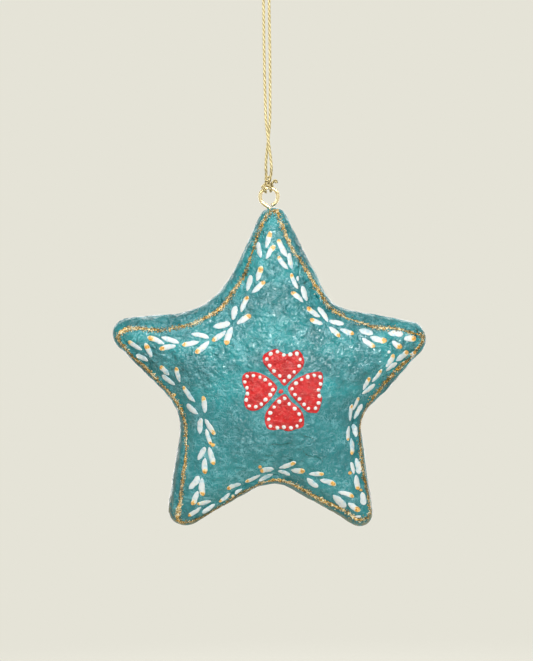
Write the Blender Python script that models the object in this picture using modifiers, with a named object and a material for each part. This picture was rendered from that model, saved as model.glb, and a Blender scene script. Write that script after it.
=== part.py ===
"""Papier mache star ornament: two moulded half shells, glued at their rims and taped with
a paper strip, hang by a wire eye from a loop of thin twisted cord. Metres, +Z up. The front
faces -Y. The origin is where a hook's wire bears, inside the top of the cord loop.
"""

import math

import bmesh
import bpy
import numpy as np
from mathutils import Vector
from mathutils.bvhtree import BVHTree

MM = 0.001

# Play between pieces that touch, and the glue line between the two rims
CLEARANCE = 0.3 * MM
SEAM_GAP = 0.3 * MM

# Cord: its loop hangs over a hook, and its ends are hitched round the eye
CORD_DIAMETER = 0.95 * MM
HANG_DROP = 70.0 * MM
CORD_STEP = 1.8 * MM
# Free cord, from the knot up the left leg, over the hook and down the right leg (millimetres)
CORD_ROUTE = (
    (0.86, -1.17, -64.2), (0.86, -1.14, -63.0), (0.74, -0.84, -61.0), (0.45, -0.64, -58.4),
    (0.12, -0.74, -55.6), (-0.30, -0.70, -52.0), (-0.62, -0.40, -48.4), (-0.73, -0.10, -44.8),
    (-0.78, 0.0, -40.6), (-0.88, 0.0, -34.0), (-0.92, 0.0, -26.0), (-0.90, 0.0, -18.0),
    (-0.88, 0.0, -11.5), (-1.02, 0.0, -8.2), (-1.38, 0.0, -5.4), (-1.80, 0.0, -3.2),
    (-1.97, 0.0, -1.5), (-1.71, 0.0, -0.51), (-0.99, 0.0, 0.21), (0.0, 0.0, 0.475),
    (0.99, 0.0, 0.21), (1.71, 0.0, -0.51), (1.97, 0.0, -1.5), (1.80, 0.0, -3.2),
    (1.38, 0.0, -5.4), (1.02, 0.0, -8.2), (0.88, 0.0, -11.5), (0.90, 0.0, -18.0),
    (0.92, 0.0, -26.0), (0.88, 0.0, -34.0), (0.78, 0.0, -40.6), (0.73, 0.10, -44.8),
    (0.62, 0.40, -48.4), (0.30, 0.70, -52.0), (-0.12, 0.74, -55.6), (-0.45, 0.64, -58.4),
    (-0.74, 0.84, -61.0), (-0.86, 1.14, -63.0), (-0.86, 1.17, -64.2),
)
LOOP_POINTS = 24
# A wound stretch's gap to itself is measured at this many points a side of its path,
# between points more than this many diameters apart along it
GAP_SAMPLES = 4
GAP_APART = 2.5
# How finely round stretches are faceted: sides of the tubes and of the shank's hole
WOUND_SIDES = 1
CORD_SIDES = 2
WIRE_SIDES = 3
HOLE_SIDES = 16

# Overhand turn that closes the hitch: a curl and a half, seen from the front as a small ring
KNOT_RADIUS = 0.86 * MM
KNOT_PITCH = 1.56 * MM
KNOT_TURNS = 1.5

# Hitch: two turns of the cord round the wire, whose cut ends stand out as tails
HITCH_RADIUS = 1.45 * MM
HITCH_PITCH = 1.45 * MM
HITCH_TURNS = 2
# Tails, in cord diameters from the ends of the turns: one cut short, one longer and curled up
LEFT_TAIL = ((-1.7, 0.05, -0.9), (-1.1, 0.0, -0.85), (-0.5, 0.0, -0.75), (-0.1, 0.0, -0.4))
RIGHT_TAIL = ((0.05, 0.02, 0.5), (0.25, 0.1, 1.0), (0.65, 0.3, 1.4), (1.15, 0.55, 1.45))

# Eye: a bent wire ring on a straight shank. Ring angles run clockwise from the top
WIRE_DIAMETER = 1.2 * MM
RING_RADIUS = 2.85 * MM
RING_START = 215.0
RING_END = 526.0
RING_STEP = 12.0
SHANK_LEAD = 1.7 * MM
SHANK_BEND = 1.2 * MM
SHANK_LENGTH = 11.0 * MM
EYE_CLEAR = 0.25 * MM
EYE_HOLE = 1.15 * MM

# Star outline: each tip and each valley is an arc, and straight tangents join them
ARM_REACH = 55.0 * MM
ARM_TIP_RADIUS = 5.0 * MM
VALLEY_REACH = 32.0 * MM
VALLEY_RADIUS = 14.0 * MM
# It was shaped by hand, so no two arms are alike: angle clockwise from the top in degrees,
# then the shares of the reach and of the radius that each has
TIPS = (
    (1.0, 1.0, 1.0), (73.5, 0.942, 1.16), (146.0, 1.005, 0.84), (213.5, 0.998, 1.08), (288.0, 0.958, 0.96),
)
VALLEYS = (
    (39.0, 0.997, 0.72), (111.5, 0.994, 0.57), (179.0, 1.044, 0.96), (251.5, 0.988, 1.25), (323.5, 1.0, 1.64),
)
# The star's centre lies this far beside the cord, so that its middle of mass hangs under the eye
STAR_SIDE = -0.4 * MM
STAR_LEAN = 0.8
TIP_SEGMENTS = 7
VALLEY_SEGMENTS = 5
SIDE_SEGMENTS = 3

# Half shells: depth of the puffed face beyond the straight rim, and the pulp wall
CROWN = 14.0 * MM
# 0.5 rounds the edges like a half circle, and more makes them and the arms leaner
EDGE_POWER = 0.57
RIM = 0.8 * MM
WALL = 2.0 * MM
# How far each ring of the face is drawn from the outline towards the star's centre
FACE_RINGS = (0.005, 0.018, 0.045, 0.09, 0.16, 0.27, 0.44, 0.68)

# Paper strip over the joint
STRIP_THICKNESS = 0.5 * MM
STRIP_REACH = 1.4 * MM
STRIP_ROWS = (0.06, 0.3, 1.0)

# Wooden peg inside the top arm, which the eye's shank goes into
PLUG_TOP = 6.0 * MM
PLUG_LENGTH = 10.0 * MM
PLUG_STATIONS = 5
PLUG_STEPS = 24
BORE_SPARE = 1.0 * MM


def clear_scene():
    """Remove the objects that Blender opens with."""
    for obj in list(bpy.data.objects):
        bpy.data.objects.remove(obj, do_unlink=True)


def new_collection(name):
    """Make a collection in the scene."""
    collection = bpy.data.collections.new(name)
    bpy.context.scene.collection.children.link(collection)
    return collection


def new_material(name, colour, roughness, metallic=0.0):
    """Make a plain Principled material."""
    material = bpy.data.materials.new(name)
    material.use_nodes = True
    shader = material.node_tree.nodes["Principled BSDF"]
    shader.inputs["Base Color"].default_value = (*colour, 1.0)
    shader.inputs["Roughness"].default_value = roughness
    shader.inputs["Metallic"].default_value = metallic
    material.diffuse_color = (*colour, 1.0)
    return material


def new_object(name, data, collection, material=None):
    """Link an object that holds this mesh or curve."""
    obj = bpy.data.objects.new(name, data)
    collection.objects.link(obj)
    if material:
        data.materials.append(material)
    return obj


def new_mesh(name, points, faces):
    """Make a smooth mesh with its faces all turned one way."""
    mesh = bpy.data.meshes.new(name)
    mesh.from_pydata(points, [], faces)
    mesh.shade_smooth()
    mesh.set_sharp_from_angle(angle=math.radians(40))
    return mesh


def tube(name, points, diameter, sides, collection, material):
    """A curve swept round, with closed ends. It has 4 sides and 2 more for each of sides."""
    curve = bpy.data.curves.new(name, "CURVE")
    curve.dimensions = "3D"
    curve.bevel_depth = diameter / 2
    curve.bevel_resolution = sides
    curve.use_fill_caps = True
    spline = curve.splines.new("POLY")
    spline.points.add(len(points) - 1)
    for spot, point in zip(spline.points, points):
        spot.co = (*point, 1.0)
    spline.use_smooth = True
    return new_object(name, curve, collection, material)


def cut(obj, cutter):
    """Take the cutter's shape out of an object."""
    modifier = obj.modifiers.new("Cut " + cutter.name, "BOOLEAN")
    modifier.operation = "DIFFERENCE"
    modifier.solver = "EXACT"
    modifier.object = cutter


def clockwise(angle):
    """Unit vector in the XZ plane at an angle clockwise from the top, in radians."""
    return np.array([math.sin(angle), math.cos(angle)])


def turned(vector, angle):
    """A 2D vector turned anticlockwise."""
    c = math.cos(angle)
    s = math.sin(angle)
    return np.array([vector[0] * c - vector[1] * s, vector[0] * s + vector[1] * c])


def outline_circles(inset):
    """Centre, radius and side (1 tip, -1 valley) of each arc, the star drawn in by inset."""
    circles = []
    for tip, valley in zip(TIPS, VALLEYS):
        radius = ARM_TIP_RADIUS * tip[2]
        centre = clockwise(math.radians(tip[0] + STAR_LEAN)) * (ARM_REACH * tip[1] - radius)
        circles.append((centre, radius - inset, 1))
        radius = VALLEY_RADIUS * valley[2]
        centre = clockwise(math.radians(valley[0] + STAR_LEAN)) * (VALLEY_REACH * valley[1] + radius)
        circles.append((centre, radius + inset, -1))
    return circles


def tangent_points(circle, following):
    """Ends of the straight side between two neighbouring arcs."""
    centre, radius, side = circle
    next_centre, next_radius, _ = following
    span = next_centre - centre
    length = math.hypot(*span)
    lean = math.acos((radius + next_radius) / length)
    normal = turned(span / length, side * lean)
    return centre + radius * normal, next_centre - next_radius * normal


def outline(inset=0.0):
    """Points round the star, clockwise from the top, and the inward normal at each."""
    circles = outline_circles(inset)
    count = len(circles)
    sides = [tangent_points(circles[i], circles[(i + 1) % count]) for i in range(count)]
    points = []
    normals = []
    for i, (centre, radius, side) in enumerate(circles):
        start = sides[i - 1][1] - centre
        end = sides[i][0] - centre
        first = math.atan2(start[0], start[1])
        sweep = (math.atan2(end[0], end[1]) - first) % math.tau
        if side < 0:
            sweep -= math.tau
        steps = TIP_SEGMENTS if side > 0 else VALLEY_SEGMENTS
        for step in range(steps + 1):
            outward = clockwise(first + sweep * step / steps)
            points.append(centre + radius * outward)
            normals.append(-side * outward)
        for step in range(1, SIDE_SEGMENTS):
            share = step / SIDE_SEGMENTS
            points.append(sides[i][0] * (1 - share) + sides[i][1] * share)
            normals.append(-side * outward)
    return np.array(points), np.array(normals)


def pull(spots, ring):
    """How open each spot is: the inverse of the outline's summed inverse square distance."""
    ends = np.roll(ring, -1, axis=0)
    along = ends - ring
    length = np.hypot(along[:, 0], along[:, 1])
    along = along / length[:, None]
    away = spots[:, None, :] - ring[None, :, :]
    before = np.einsum("ijk,jk->ij", away, along)
    beside = np.abs(away[:, :, 0] * along[:, 1] - away[:, :, 1] * along[:, 0])
    beside = np.maximum(beside, 0.001 * MM)
    total = (np.arctan((length - before) / beside) + np.arctan(before / beside)) / beside
    return 1.0 / total.sum(axis=1)


def face_height(spots, ring, crown):
    """Height of the puffed face over the rim: round at the edges and along each arm."""
    centre = pull(np.zeros((1, 2)), ring)[0]
    return crown * (pull(spots, ring) / centre) ** EDGE_POWER


def star_drop():
    """How far the star's centre hangs below the middle of the wire ring."""
    return RING_RADIUS + WIRE_DIAMETER / 2 + EYE_CLEAR + ARM_REACH * TIPS[0][1]


def star_place(spots, depth):
    """Points of the star's plane and their depths as points of the ornament."""
    centre = eye_centre() + Vector((STAR_SIDE, 0.0, -star_drop()))
    return [centre + Vector((x, y, z)) for (x, z), y in zip(spots, depth)]


def ring_faces(rows, count, flip):
    """Quads between rows of points that each go round the star."""
    faces = []
    for row in range(rows - 1):
        for i in range(count):
            j = (i + 1) % count
            face = (row * count + i, row * count + j, (row + 1) * count + j, (row + 1) * count + i)
            faces.append(face[::-1] if flip else face)
    return faces


def shell_surface(side):
    """Outer face of one half: straight rim, then rings drawn in to the centre."""
    ring, _ = outline(STRIP_THICKNESS + CLEARANCE)
    count = len(ring)
    spots = [ring, ring]
    depths = [np.full(count, SEAM_GAP / 2), np.full(count, SEAM_GAP / 2 + RIM)]
    for share in FACE_RINGS:
        row = ring * (1 - share)
        spots.append(row)
        depths.append(SEAM_GAP / 2 + RIM + face_height(row, ring, CROWN))
    rows = len(spots)
    spots.append(np.zeros((1, 2)))
    depths.append(np.array([SEAM_GAP / 2 + RIM + CROWN]))
    points = star_place(np.concatenate(spots), side * np.concatenate(depths))
    faces = ring_faces(rows, count, side < 0)
    last = (rows - 1) * count
    for i in range(count):
        fan = (last + i, last + (i + 1) % count, rows * count)
        faces.append(fan[::-1] if side < 0 else fan)
    return points, faces


def half_shell(name, side, collection, material, hole):
    """One moulded half: side is -1 for the front and 1 for the back."""
    points, faces = shell_surface(side)
    obj = new_object(name, new_mesh(name, points, faces), collection, material)
    solidify = obj.modifiers.new("Pulp wall", "SOLIDIFY")
    solidify.thickness = WALL
    solidify.offset = -1.0
    solidify.use_even_offset = True
    cut(obj, hole)
    return obj


def seam_strip(collection, material, hole):
    """Paper strip pasted over the joint, round the whole edge."""
    ring, normals = outline()
    crown = CROWN + STRIP_THICKNESS + CLEARANCE
    spots = [ring]
    heights = [np.full(len(ring), SEAM_GAP / 2 + RIM)]
    for share in STRIP_ROWS:
        row = ring + normals * STRIP_REACH * share
        spots.append(row)
        heights.append(SEAM_GAP / 2 + RIM + face_height(row, ring, crown))
    rows = spots[::-1] + spots
    depths = [-height for height in heights[::-1]] + heights
    points = star_place(np.concatenate(rows), np.concatenate(depths))
    faces = ring_faces(len(rows), len(ring), False)
    obj = new_object("seam_strip", new_mesh("seam_strip", points, faces), collection, material)
    solidify = obj.modifiers.new("Paper", "SOLIDIFY")
    solidify.thickness = STRIP_THICKNESS
    solidify.offset = -1.0
    solidify.use_even_offset = True
    cut(obj, hole)
    return obj


def eye_centre():
    """Centre of the wire ring, right under the hitch."""
    return Vector((0.0, 0.0, -HANG_DROP - RING_RADIUS))


def shank_start():
    """Where the tangent lead of the ring begins, as a 2D point about the ring's centre."""
    angle = math.radians(RING_START)
    forward = np.array([math.cos(angle), -math.sin(angle)])
    return RING_RADIUS * clockwise(angle) - SHANK_LEAD * forward, forward


def shank_axis():
    """Top of the straight shank, about the ring's centre."""
    start, forward = shank_start()
    bend = math.acos(forward[1])
    return start + SHANK_BEND * np.array([1 - math.cos(bend), -math.sin(bend)]), bend


def eye_path():
    """Shank, bend, tangent lead and ring, as points about the ring's centre."""
    top, bend = shank_axis()
    path = [top - np.array([0.0, SHANK_LENGTH]), top]
    for step in (1, 2, 3, 4):
        turn = bend * step / 4
        path.append(top + SHANK_BEND * np.array([math.cos(turn) - 1, math.sin(turn)]))
    steps = round((RING_END - RING_START) / RING_STEP)
    for step in range(steps + 1):
        angle = math.radians(RING_START + (RING_END - RING_START) * step / steps)
        path.append(RING_RADIUS * clockwise(angle))
    return path


def screw_eye(collection, material):
    """The wire eye, bent from one piece."""
    points = [Vector((x, 0.0, z)) for x, z in eye_path()]
    obj = tube("screw_eye", points, WIRE_DIAMETER, WIRE_SIDES, collection, material)
    obj.location = eye_centre()
    return obj


def shank_hole(collection):
    """Cutter for the hole that the eye's shank goes down, through strip and rims."""
    top, _ = shank_axis()
    depth = 2 * SHANK_LENGTH
    mesh = bpy.data.meshes.new("shank_hole")
    shape = bmesh.new()
    bmesh.ops.create_cone(
        shape, cap_ends=True, segments=HOLE_SIDES, radius1=EYE_HOLE, radius2=EYE_HOLE, depth=depth
    )
    shape.to_mesh(mesh)
    shape.free()
    obj = new_object("shank_hole", mesh, collection)
    obj.location = eye_centre() + Vector((top[0], 0.0, -RING_RADIUS - depth / 2 + SHANK_BEND / 4))
    obj.hide_render = True
    obj.display_type = "WIRE"
    return obj


def tip_level():
    """Height of the top arm's tip, about the middle of the wire ring."""
    return ARM_REACH * TIPS[0][1] - star_drop()


def plug_profile():
    """Outer radius of the peg at each station down from its top, as the arm allows."""
    surfaces = [BVHTree.FromPolygons(*shell_surface(side)) for side in (-1, 1)]
    top, _ = shank_axis()
    axis = eye_centre() + Vector((top[0], 0.0, tip_level()))
    profile = []
    for station in range(PLUG_STATIONS):
        drop = PLUG_TOP + PLUG_LENGTH * station / (PLUG_STATIONS - 1)
        spot = axis - Vector((0.0, 0.0, drop))
        room = min(surface.find_nearest(spot)[3] for surface in surfaces)
        profile.append((room - WALL - CLEARANCE, -drop))
    return profile


def tip_plug(collection, material):
    """Turned wooden peg with a blind bore for the shank."""
    top, _ = shank_axis()
    bore = WIRE_DIAMETER / 2 + CLEARANCE
    profile = plug_profile()
    bore_end = top[1] - SHANK_LENGTH - BORE_SPARE - tip_level()
    points = [(bore, profile[0][1])] + profile + [(0.0, profile[-1][1])]
    points = [(0.0, bore_end), (bore, bore_end)] + points
    mesh = bpy.data.meshes.new("tip_plug")
    mesh.from_pydata([(r, 0.0, z) for r, z in points], [(i, i + 1) for i in range(len(points) - 1)], [])
    obj = new_object("tip_plug", mesh, collection, material)
    obj.location = eye_centre() + Vector((top[0], 0.0, tip_level()))
    screw = obj.modifiers.new("Turned", "SCREW")
    screw.steps = PLUG_STEPS
    screw.render_steps = PLUG_STEPS
    screw.use_merge_vertices = True
    screw.merge_threshold = 0.001 * MM
    screw.use_smooth_shade = True
    return obj


def smooth_route(knots, step):
    """Points about one step apart on a smooth curve through the knots."""
    knots = [Vector(knot) for knot in knots]
    fine = []
    padded = [knots[0]] + knots + [knots[-1]]
    for i in range(len(knots) - 1):
        before, start, end, after = padded[i : i + 4]
        for k in range(8):
            t = k / 8
            fine.append(
                0.5 * ((2 * start) + (end - before) * t
                + (2 * before - 5 * start + 4 * end - after) * t ** 2
                + (3 * start - before - 3 * end + after) * t ** 3)
            )
    fine.append(knots[-1])
    lengths = np.concatenate([[0], np.cumsum([(b - a).length for a, b in zip(fine, fine[1:])])])
    wanted = np.linspace(0, lengths[-1], round(lengths[-1] / step) + 1)
    table = np.array([tuple(point) for point in fine])
    columns = [np.interp(wanted, lengths, table[:, axis]) for axis in range(3)]
    return [Vector(point) for point in zip(*columns)]


def cord_loop(collection, material):
    """Free cord: both legs and the bend over the hook, as one tube."""
    knots = [[value * MM for value in knot] for knot in CORD_ROUTE]
    return tube("cord_loop", smooth_route(knots, CORD_STEP), CORD_DIAMETER, CORD_SIDES, collection, material)


def knot_level():
    """Height of the knot's middle over the wire that the cord is hitched to."""
    return HITCH_RADIUS + CORD_DIAMETER + CLEARANCE + KNOT_RADIUS


def knot_path():
    """A curl and a half about Y, whose ends run straight up to the legs."""
    half = KNOT_PITCH * KNOT_TURNS / 2
    steps = round(LOOP_POINTS * KNOT_TURNS)
    path = [Vector((KNOT_RADIUS, -half, 2.0 * CORD_DIAMETER)), Vector((KNOT_RADIUS, -half, CORD_DIAMETER))]
    for step in range(steps + 1):
        turn = math.tau * KNOT_TURNS * step / steps
        depth = -half + KNOT_PITCH * KNOT_TURNS * step / steps
        path.append(Vector((KNOT_RADIUS * math.cos(turn), depth, -KNOT_RADIUS * math.sin(turn))))
    path.append(Vector((-KNOT_RADIUS, half, CORD_DIAMETER)))
    path.append(Vector((-KNOT_RADIUS, half, 2.0 * CORD_DIAMETER)))
    return path


def hitch_path():
    """Two turns about X round the wire, with a tail at each end."""
    half = HITCH_PITCH * HITCH_TURNS / 2
    steps = LOOP_POINTS * HITCH_TURNS
    path = []
    for step in range(steps + 1):
        turn = math.tau * HITCH_TURNS * step / steps
        across = -half + HITCH_PITCH * HITCH_TURNS * step / steps
        path.append(Vector((across, -HITCH_RADIUS * math.cos(turn), HITCH_RADIUS * math.sin(turn))))
    left = [path[0] + CORD_DIAMETER * Vector(spot) for spot in LEFT_TAIL]
    right = [path[-1] + CORD_DIAMETER * Vector(spot) for spot in RIGHT_TAIL]
    return left + path + right


def least_gap(path, diameter):
    """Least surface gap of a tube to itself, leaving out stretches that lie close along it."""
    points = np.array([tuple(point) for point in path])
    spans = np.diff(points, axis=0)
    lengths = np.linalg.norm(spans, axis=1)
    starts = np.cumsum(lengths) - lengths
    shares = np.arange(GAP_SAMPLES) / GAP_SAMPLES
    fine = np.concatenate([points[:-1] + spans * share for share in shares])
    along = np.concatenate([starts + lengths * share for share in shares])
    apart = np.linalg.norm(fine[:, None] - fine[None], axis=2)
    near = np.abs(along[:, None] - along[None]) < GAP_APART * diameter
    return apart[~near].min() - diameter


def wound_tube(name, path, level, collection, material):
    """A wound stretch of the cord, with its least gap to itself printed."""
    obj = tube(name, path, CORD_DIAMETER, WOUND_SIDES, collection, material)
    obj.location = (0.0, 0.0, level)
    print(f"{name}: least gap to itself {least_gap(path, CORD_DIAMETER) / MM:.2f} mm")
    return obj


def build():
    """Model the ornament."""
    clear_scene()
    parts = new_collection("star_ornament")
    cutters = new_collection("cutters")
    paper = new_material("lacquered_pulp", (0.05, 0.30, 0.29), 0.4)
    strip = new_material("painted_strip", (0.06, 0.25, 0.24), 0.45)
    wood = new_material("peg_wood", (0.55, 0.38, 0.2), 0.8)
    brass = new_material("brass_wire", (0.83, 0.66, 0.3), 0.25, 1.0)
    cord = new_material("gold_cord", (0.78, 0.66, 0.36), 0.4, 0.6)
    hole = shank_hole(cutters)
    half_shell("front_shell", -1, parts, paper, hole)
    half_shell("back_shell", 1, parts, paper, hole)
    seam_strip(parts, strip, hole)
    tip_plug(parts, wood)
    screw_eye(parts, brass)
    cord_loop(parts, cord)
    wound_tube("cord_knot", knot_path(), -HANG_DROP + knot_level(), parts, cord)
    wound_tube("cord_hitch", hitch_path(), -HANG_DROP, parts, cord)


build()
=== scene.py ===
"""Looks of a papier mache star ornament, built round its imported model. Metres, +Z up. The front
faces -Y. Skins of wrinkled pulp replace the shells, paint lies on them as thin daubs, and the
cord is laid up from three strands.
"""

import math
import random
from functools import reduce

import bpy
import numpy as np
from mathutils import Matrix, Vector, noise
from mathutils.bvhtree import BVHTree


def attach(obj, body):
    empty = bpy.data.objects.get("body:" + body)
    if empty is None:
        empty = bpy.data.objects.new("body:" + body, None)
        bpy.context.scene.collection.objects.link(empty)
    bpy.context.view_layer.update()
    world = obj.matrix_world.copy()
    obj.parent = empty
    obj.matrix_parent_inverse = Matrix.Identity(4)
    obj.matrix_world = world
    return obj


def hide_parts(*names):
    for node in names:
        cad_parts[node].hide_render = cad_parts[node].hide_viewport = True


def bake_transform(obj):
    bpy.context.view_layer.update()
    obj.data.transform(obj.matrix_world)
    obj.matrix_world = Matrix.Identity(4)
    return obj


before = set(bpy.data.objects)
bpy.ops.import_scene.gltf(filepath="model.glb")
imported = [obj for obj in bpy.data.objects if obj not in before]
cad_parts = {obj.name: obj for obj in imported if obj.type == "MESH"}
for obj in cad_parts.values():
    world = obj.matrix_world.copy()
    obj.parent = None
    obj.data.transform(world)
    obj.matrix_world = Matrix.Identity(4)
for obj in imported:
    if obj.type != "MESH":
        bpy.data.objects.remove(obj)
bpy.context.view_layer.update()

MM = 0.001

# Sizes that the CAD source gives too
CLEARANCE = 0.3 * MM
SEAM_GAP = 0.3 * MM
HANG_DROP = 70.0 * MM
CORD_ROUTE = (
    (0.86, -1.17, -64.2), (0.86, -1.14, -63.0), (0.74, -0.84, -61.0), (0.45, -0.64, -58.4),
    (0.12, -0.74, -55.6), (-0.30, -0.70, -52.0), (-0.62, -0.40, -48.4), (-0.73, -0.10, -44.8),
    (-0.78, 0.0, -40.6), (-0.88, 0.0, -34.0), (-0.92, 0.0, -26.0), (-0.90, 0.0, -18.0),
    (-0.88, 0.0, -11.5), (-1.02, 0.0, -8.2), (-1.38, 0.0, -5.4), (-1.80, 0.0, -3.2),
    (-1.97, 0.0, -1.5), (-1.71, 0.0, -0.51), (-0.99, 0.0, 0.21), (0.0, 0.0, 0.475),
    (0.99, 0.0, 0.21), (1.71, 0.0, -0.51), (1.97, 0.0, -1.5), (1.80, 0.0, -3.2),
    (1.38, 0.0, -5.4), (1.02, 0.0, -8.2), (0.88, 0.0, -11.5), (0.90, 0.0, -18.0),
    (0.92, 0.0, -26.0), (0.88, 0.0, -34.0), (0.78, 0.0, -40.6), (0.73, 0.10, -44.8),
    (0.62, 0.40, -48.4), (0.30, 0.70, -52.0), (-0.12, 0.74, -55.6), (-0.45, 0.64, -58.4),
    (-0.74, 0.84, -61.0), (-0.86, 1.14, -63.0), (-0.86, 1.17, -64.2),
)
WIRE_DIAMETER = 1.2 * MM
RING_RADIUS = 2.85 * MM
RING_START = 215.0
RING_END = 526.0
SHANK_LEAD = 1.7 * MM
SHANK_BEND = 1.2 * MM
SHANK_LENGTH = 11.0 * MM
EYE_CLEAR = 0.25 * MM
ARM_REACH = 55.0 * MM
ARM_TIP_RADIUS = 5.0 * MM
VALLEY_REACH = 32.0 * MM
VALLEY_RADIUS = 14.0 * MM
# Each arm and valley: degrees clockwise from the top, and its shares of the reach and of the radius
TIPS = (
    (1.0, 1.0, 1.0), (73.5, 0.942, 1.16), (146.0, 1.005, 0.84),
    (213.5, 0.998, 1.08), (288.0, 0.958, 0.96),
)
VALLEYS = (
    (39.0, 0.997, 0.72), (111.5, 0.994, 0.57), (179.0, 1.044, 0.96),
    (251.5, 0.988, 1.25), (323.5, 1.0, 1.64),
)
STAR_SIDE = -0.4 * MM
STAR_LEAN = 0.8
CROWN = 14.0 * MM
EDGE_POWER = 0.57
RIM = 0.8 * MM
WALL = 2.0 * MM
STRIP_THICKNESS = 0.5 * MM

RING_CENTRE = Vector((0.0, 0.0, -HANG_DROP - RING_RADIUS))
STAR_CENTRE = RING_CENTRE + Vector(
    (STAR_SIDE, 0.0, -(RING_RADIUS + WIRE_DIAMETER / 2 + EYE_CLEAR + ARM_REACH))
)


# Camera, light and room

def linear(red, green, blue):
    """Linear colour of an 8 bit screen colour."""
    values = [value / 255 for value in (red, green, blue)]
    return tuple(v / 12.92 if v <= 0.04045 else ((v + 0.055) / 1.055) ** 2.4 for v in values)


PHOTO_SIZE = (533, 661)
# Pixels to a metre at the star
PHOTO_SCALE = 3.12 / MM
STAR_PIXEL = (270.3, 380.0)
CAMERA_DISTANCE = 0.9
CAMERA_RISE = math.radians(2.0)
CAMERA_ROLL = math.radians(STAR_LEAN)
SENSOR_WIDTH = 36.0
BACKGROUND = linear(229, 227, 215)


def camera_axes():
    """Right, up and back directions and the place of the camera, at the photograph's angle."""
    level = Vector((1.0, 0.0, 0.0))
    rise = Vector((0.0, math.sin(CAMERA_RISE), math.cos(CAMERA_RISE)))
    back = Vector((0.0, -math.cos(CAMERA_RISE), math.sin(CAMERA_RISE)))
    right = level * math.cos(CAMERA_ROLL) - rise * math.sin(CAMERA_ROLL)
    up = rise * math.cos(CAMERA_ROLL) + level * math.sin(CAMERA_ROLL)
    across, down = ((STAR_PIXEL[i] - PHOTO_SIZE[i] / 2) / PHOTO_SCALE for i in range(2))
    place = STAR_CENTRE - right * across + up * down + back * CAMERA_DISTANCE
    return right, up, back, place


def new_object(name, data):
    """An object in the scene."""
    made = bpy.data.objects.new(name, data)
    bpy.context.scene.collection.objects.link(made)
    return made


def make_camera():
    """Camera with the star's centre at its pixel."""
    data = bpy.data.cameras.new("camera")
    camera = new_object("camera", data)
    bpy.context.scene.camera = camera
    rows = [list(row) for row in zip(*camera_axes())]
    camera.matrix_world = Matrix(rows + [[0.0, 0.0, 0.0, 1.0]])
    data.sensor_width = SENSOR_WIDTH
    data.lens = SENSOR_WIDTH * CAMERA_DISTANCE * PHOTO_SCALE / max(PHOTO_SIZE)
    data.clip_start = 0.05
    data.clip_end = 20.0


# Soft lights round the star: place, width, height and power
LIGHTS = {
    "key": ((0.04, -0.60, 0.21), 0.30, 0.13, 1.9),
    "right": ((0.36, -0.58, 0.27), 0.17, 0.15, 2.2),
    "left": ((-0.30, -0.60, 0.17), 0.13, 0.11, 0.9),
    "high": ((-0.25, -0.60, 0.72), 0.26, 0.16, 2.6),
    "top": ((-0.08, 0.12, 0.48), 0.30, 0.20, 0.7),
    "low": ((0.05, -0.66, -0.33), 0.14, 0.08, 0.4),
    "rear": ((0.0, 0.75, -0.05), 0.80, 0.60, 4.5),
}
LIGHT_TARGET = Vector((0.0, 0.0, -0.13))


def make_lights():
    """Soft rectangular lights, all aimed at the star."""
    for name, (place, width, height, power) in LIGHTS.items():
        data = bpy.data.lights.new(name, "AREA")
        data.shape = "RECTANGLE"
        data.size = width
        data.size_y = height
        data.energy = power
        light = new_object(name, data)
        light.location = place
        light.rotation_euler = (LIGHT_TARGET - Vector(place)).to_track_quat("-Z", "Y").to_euler()


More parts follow.
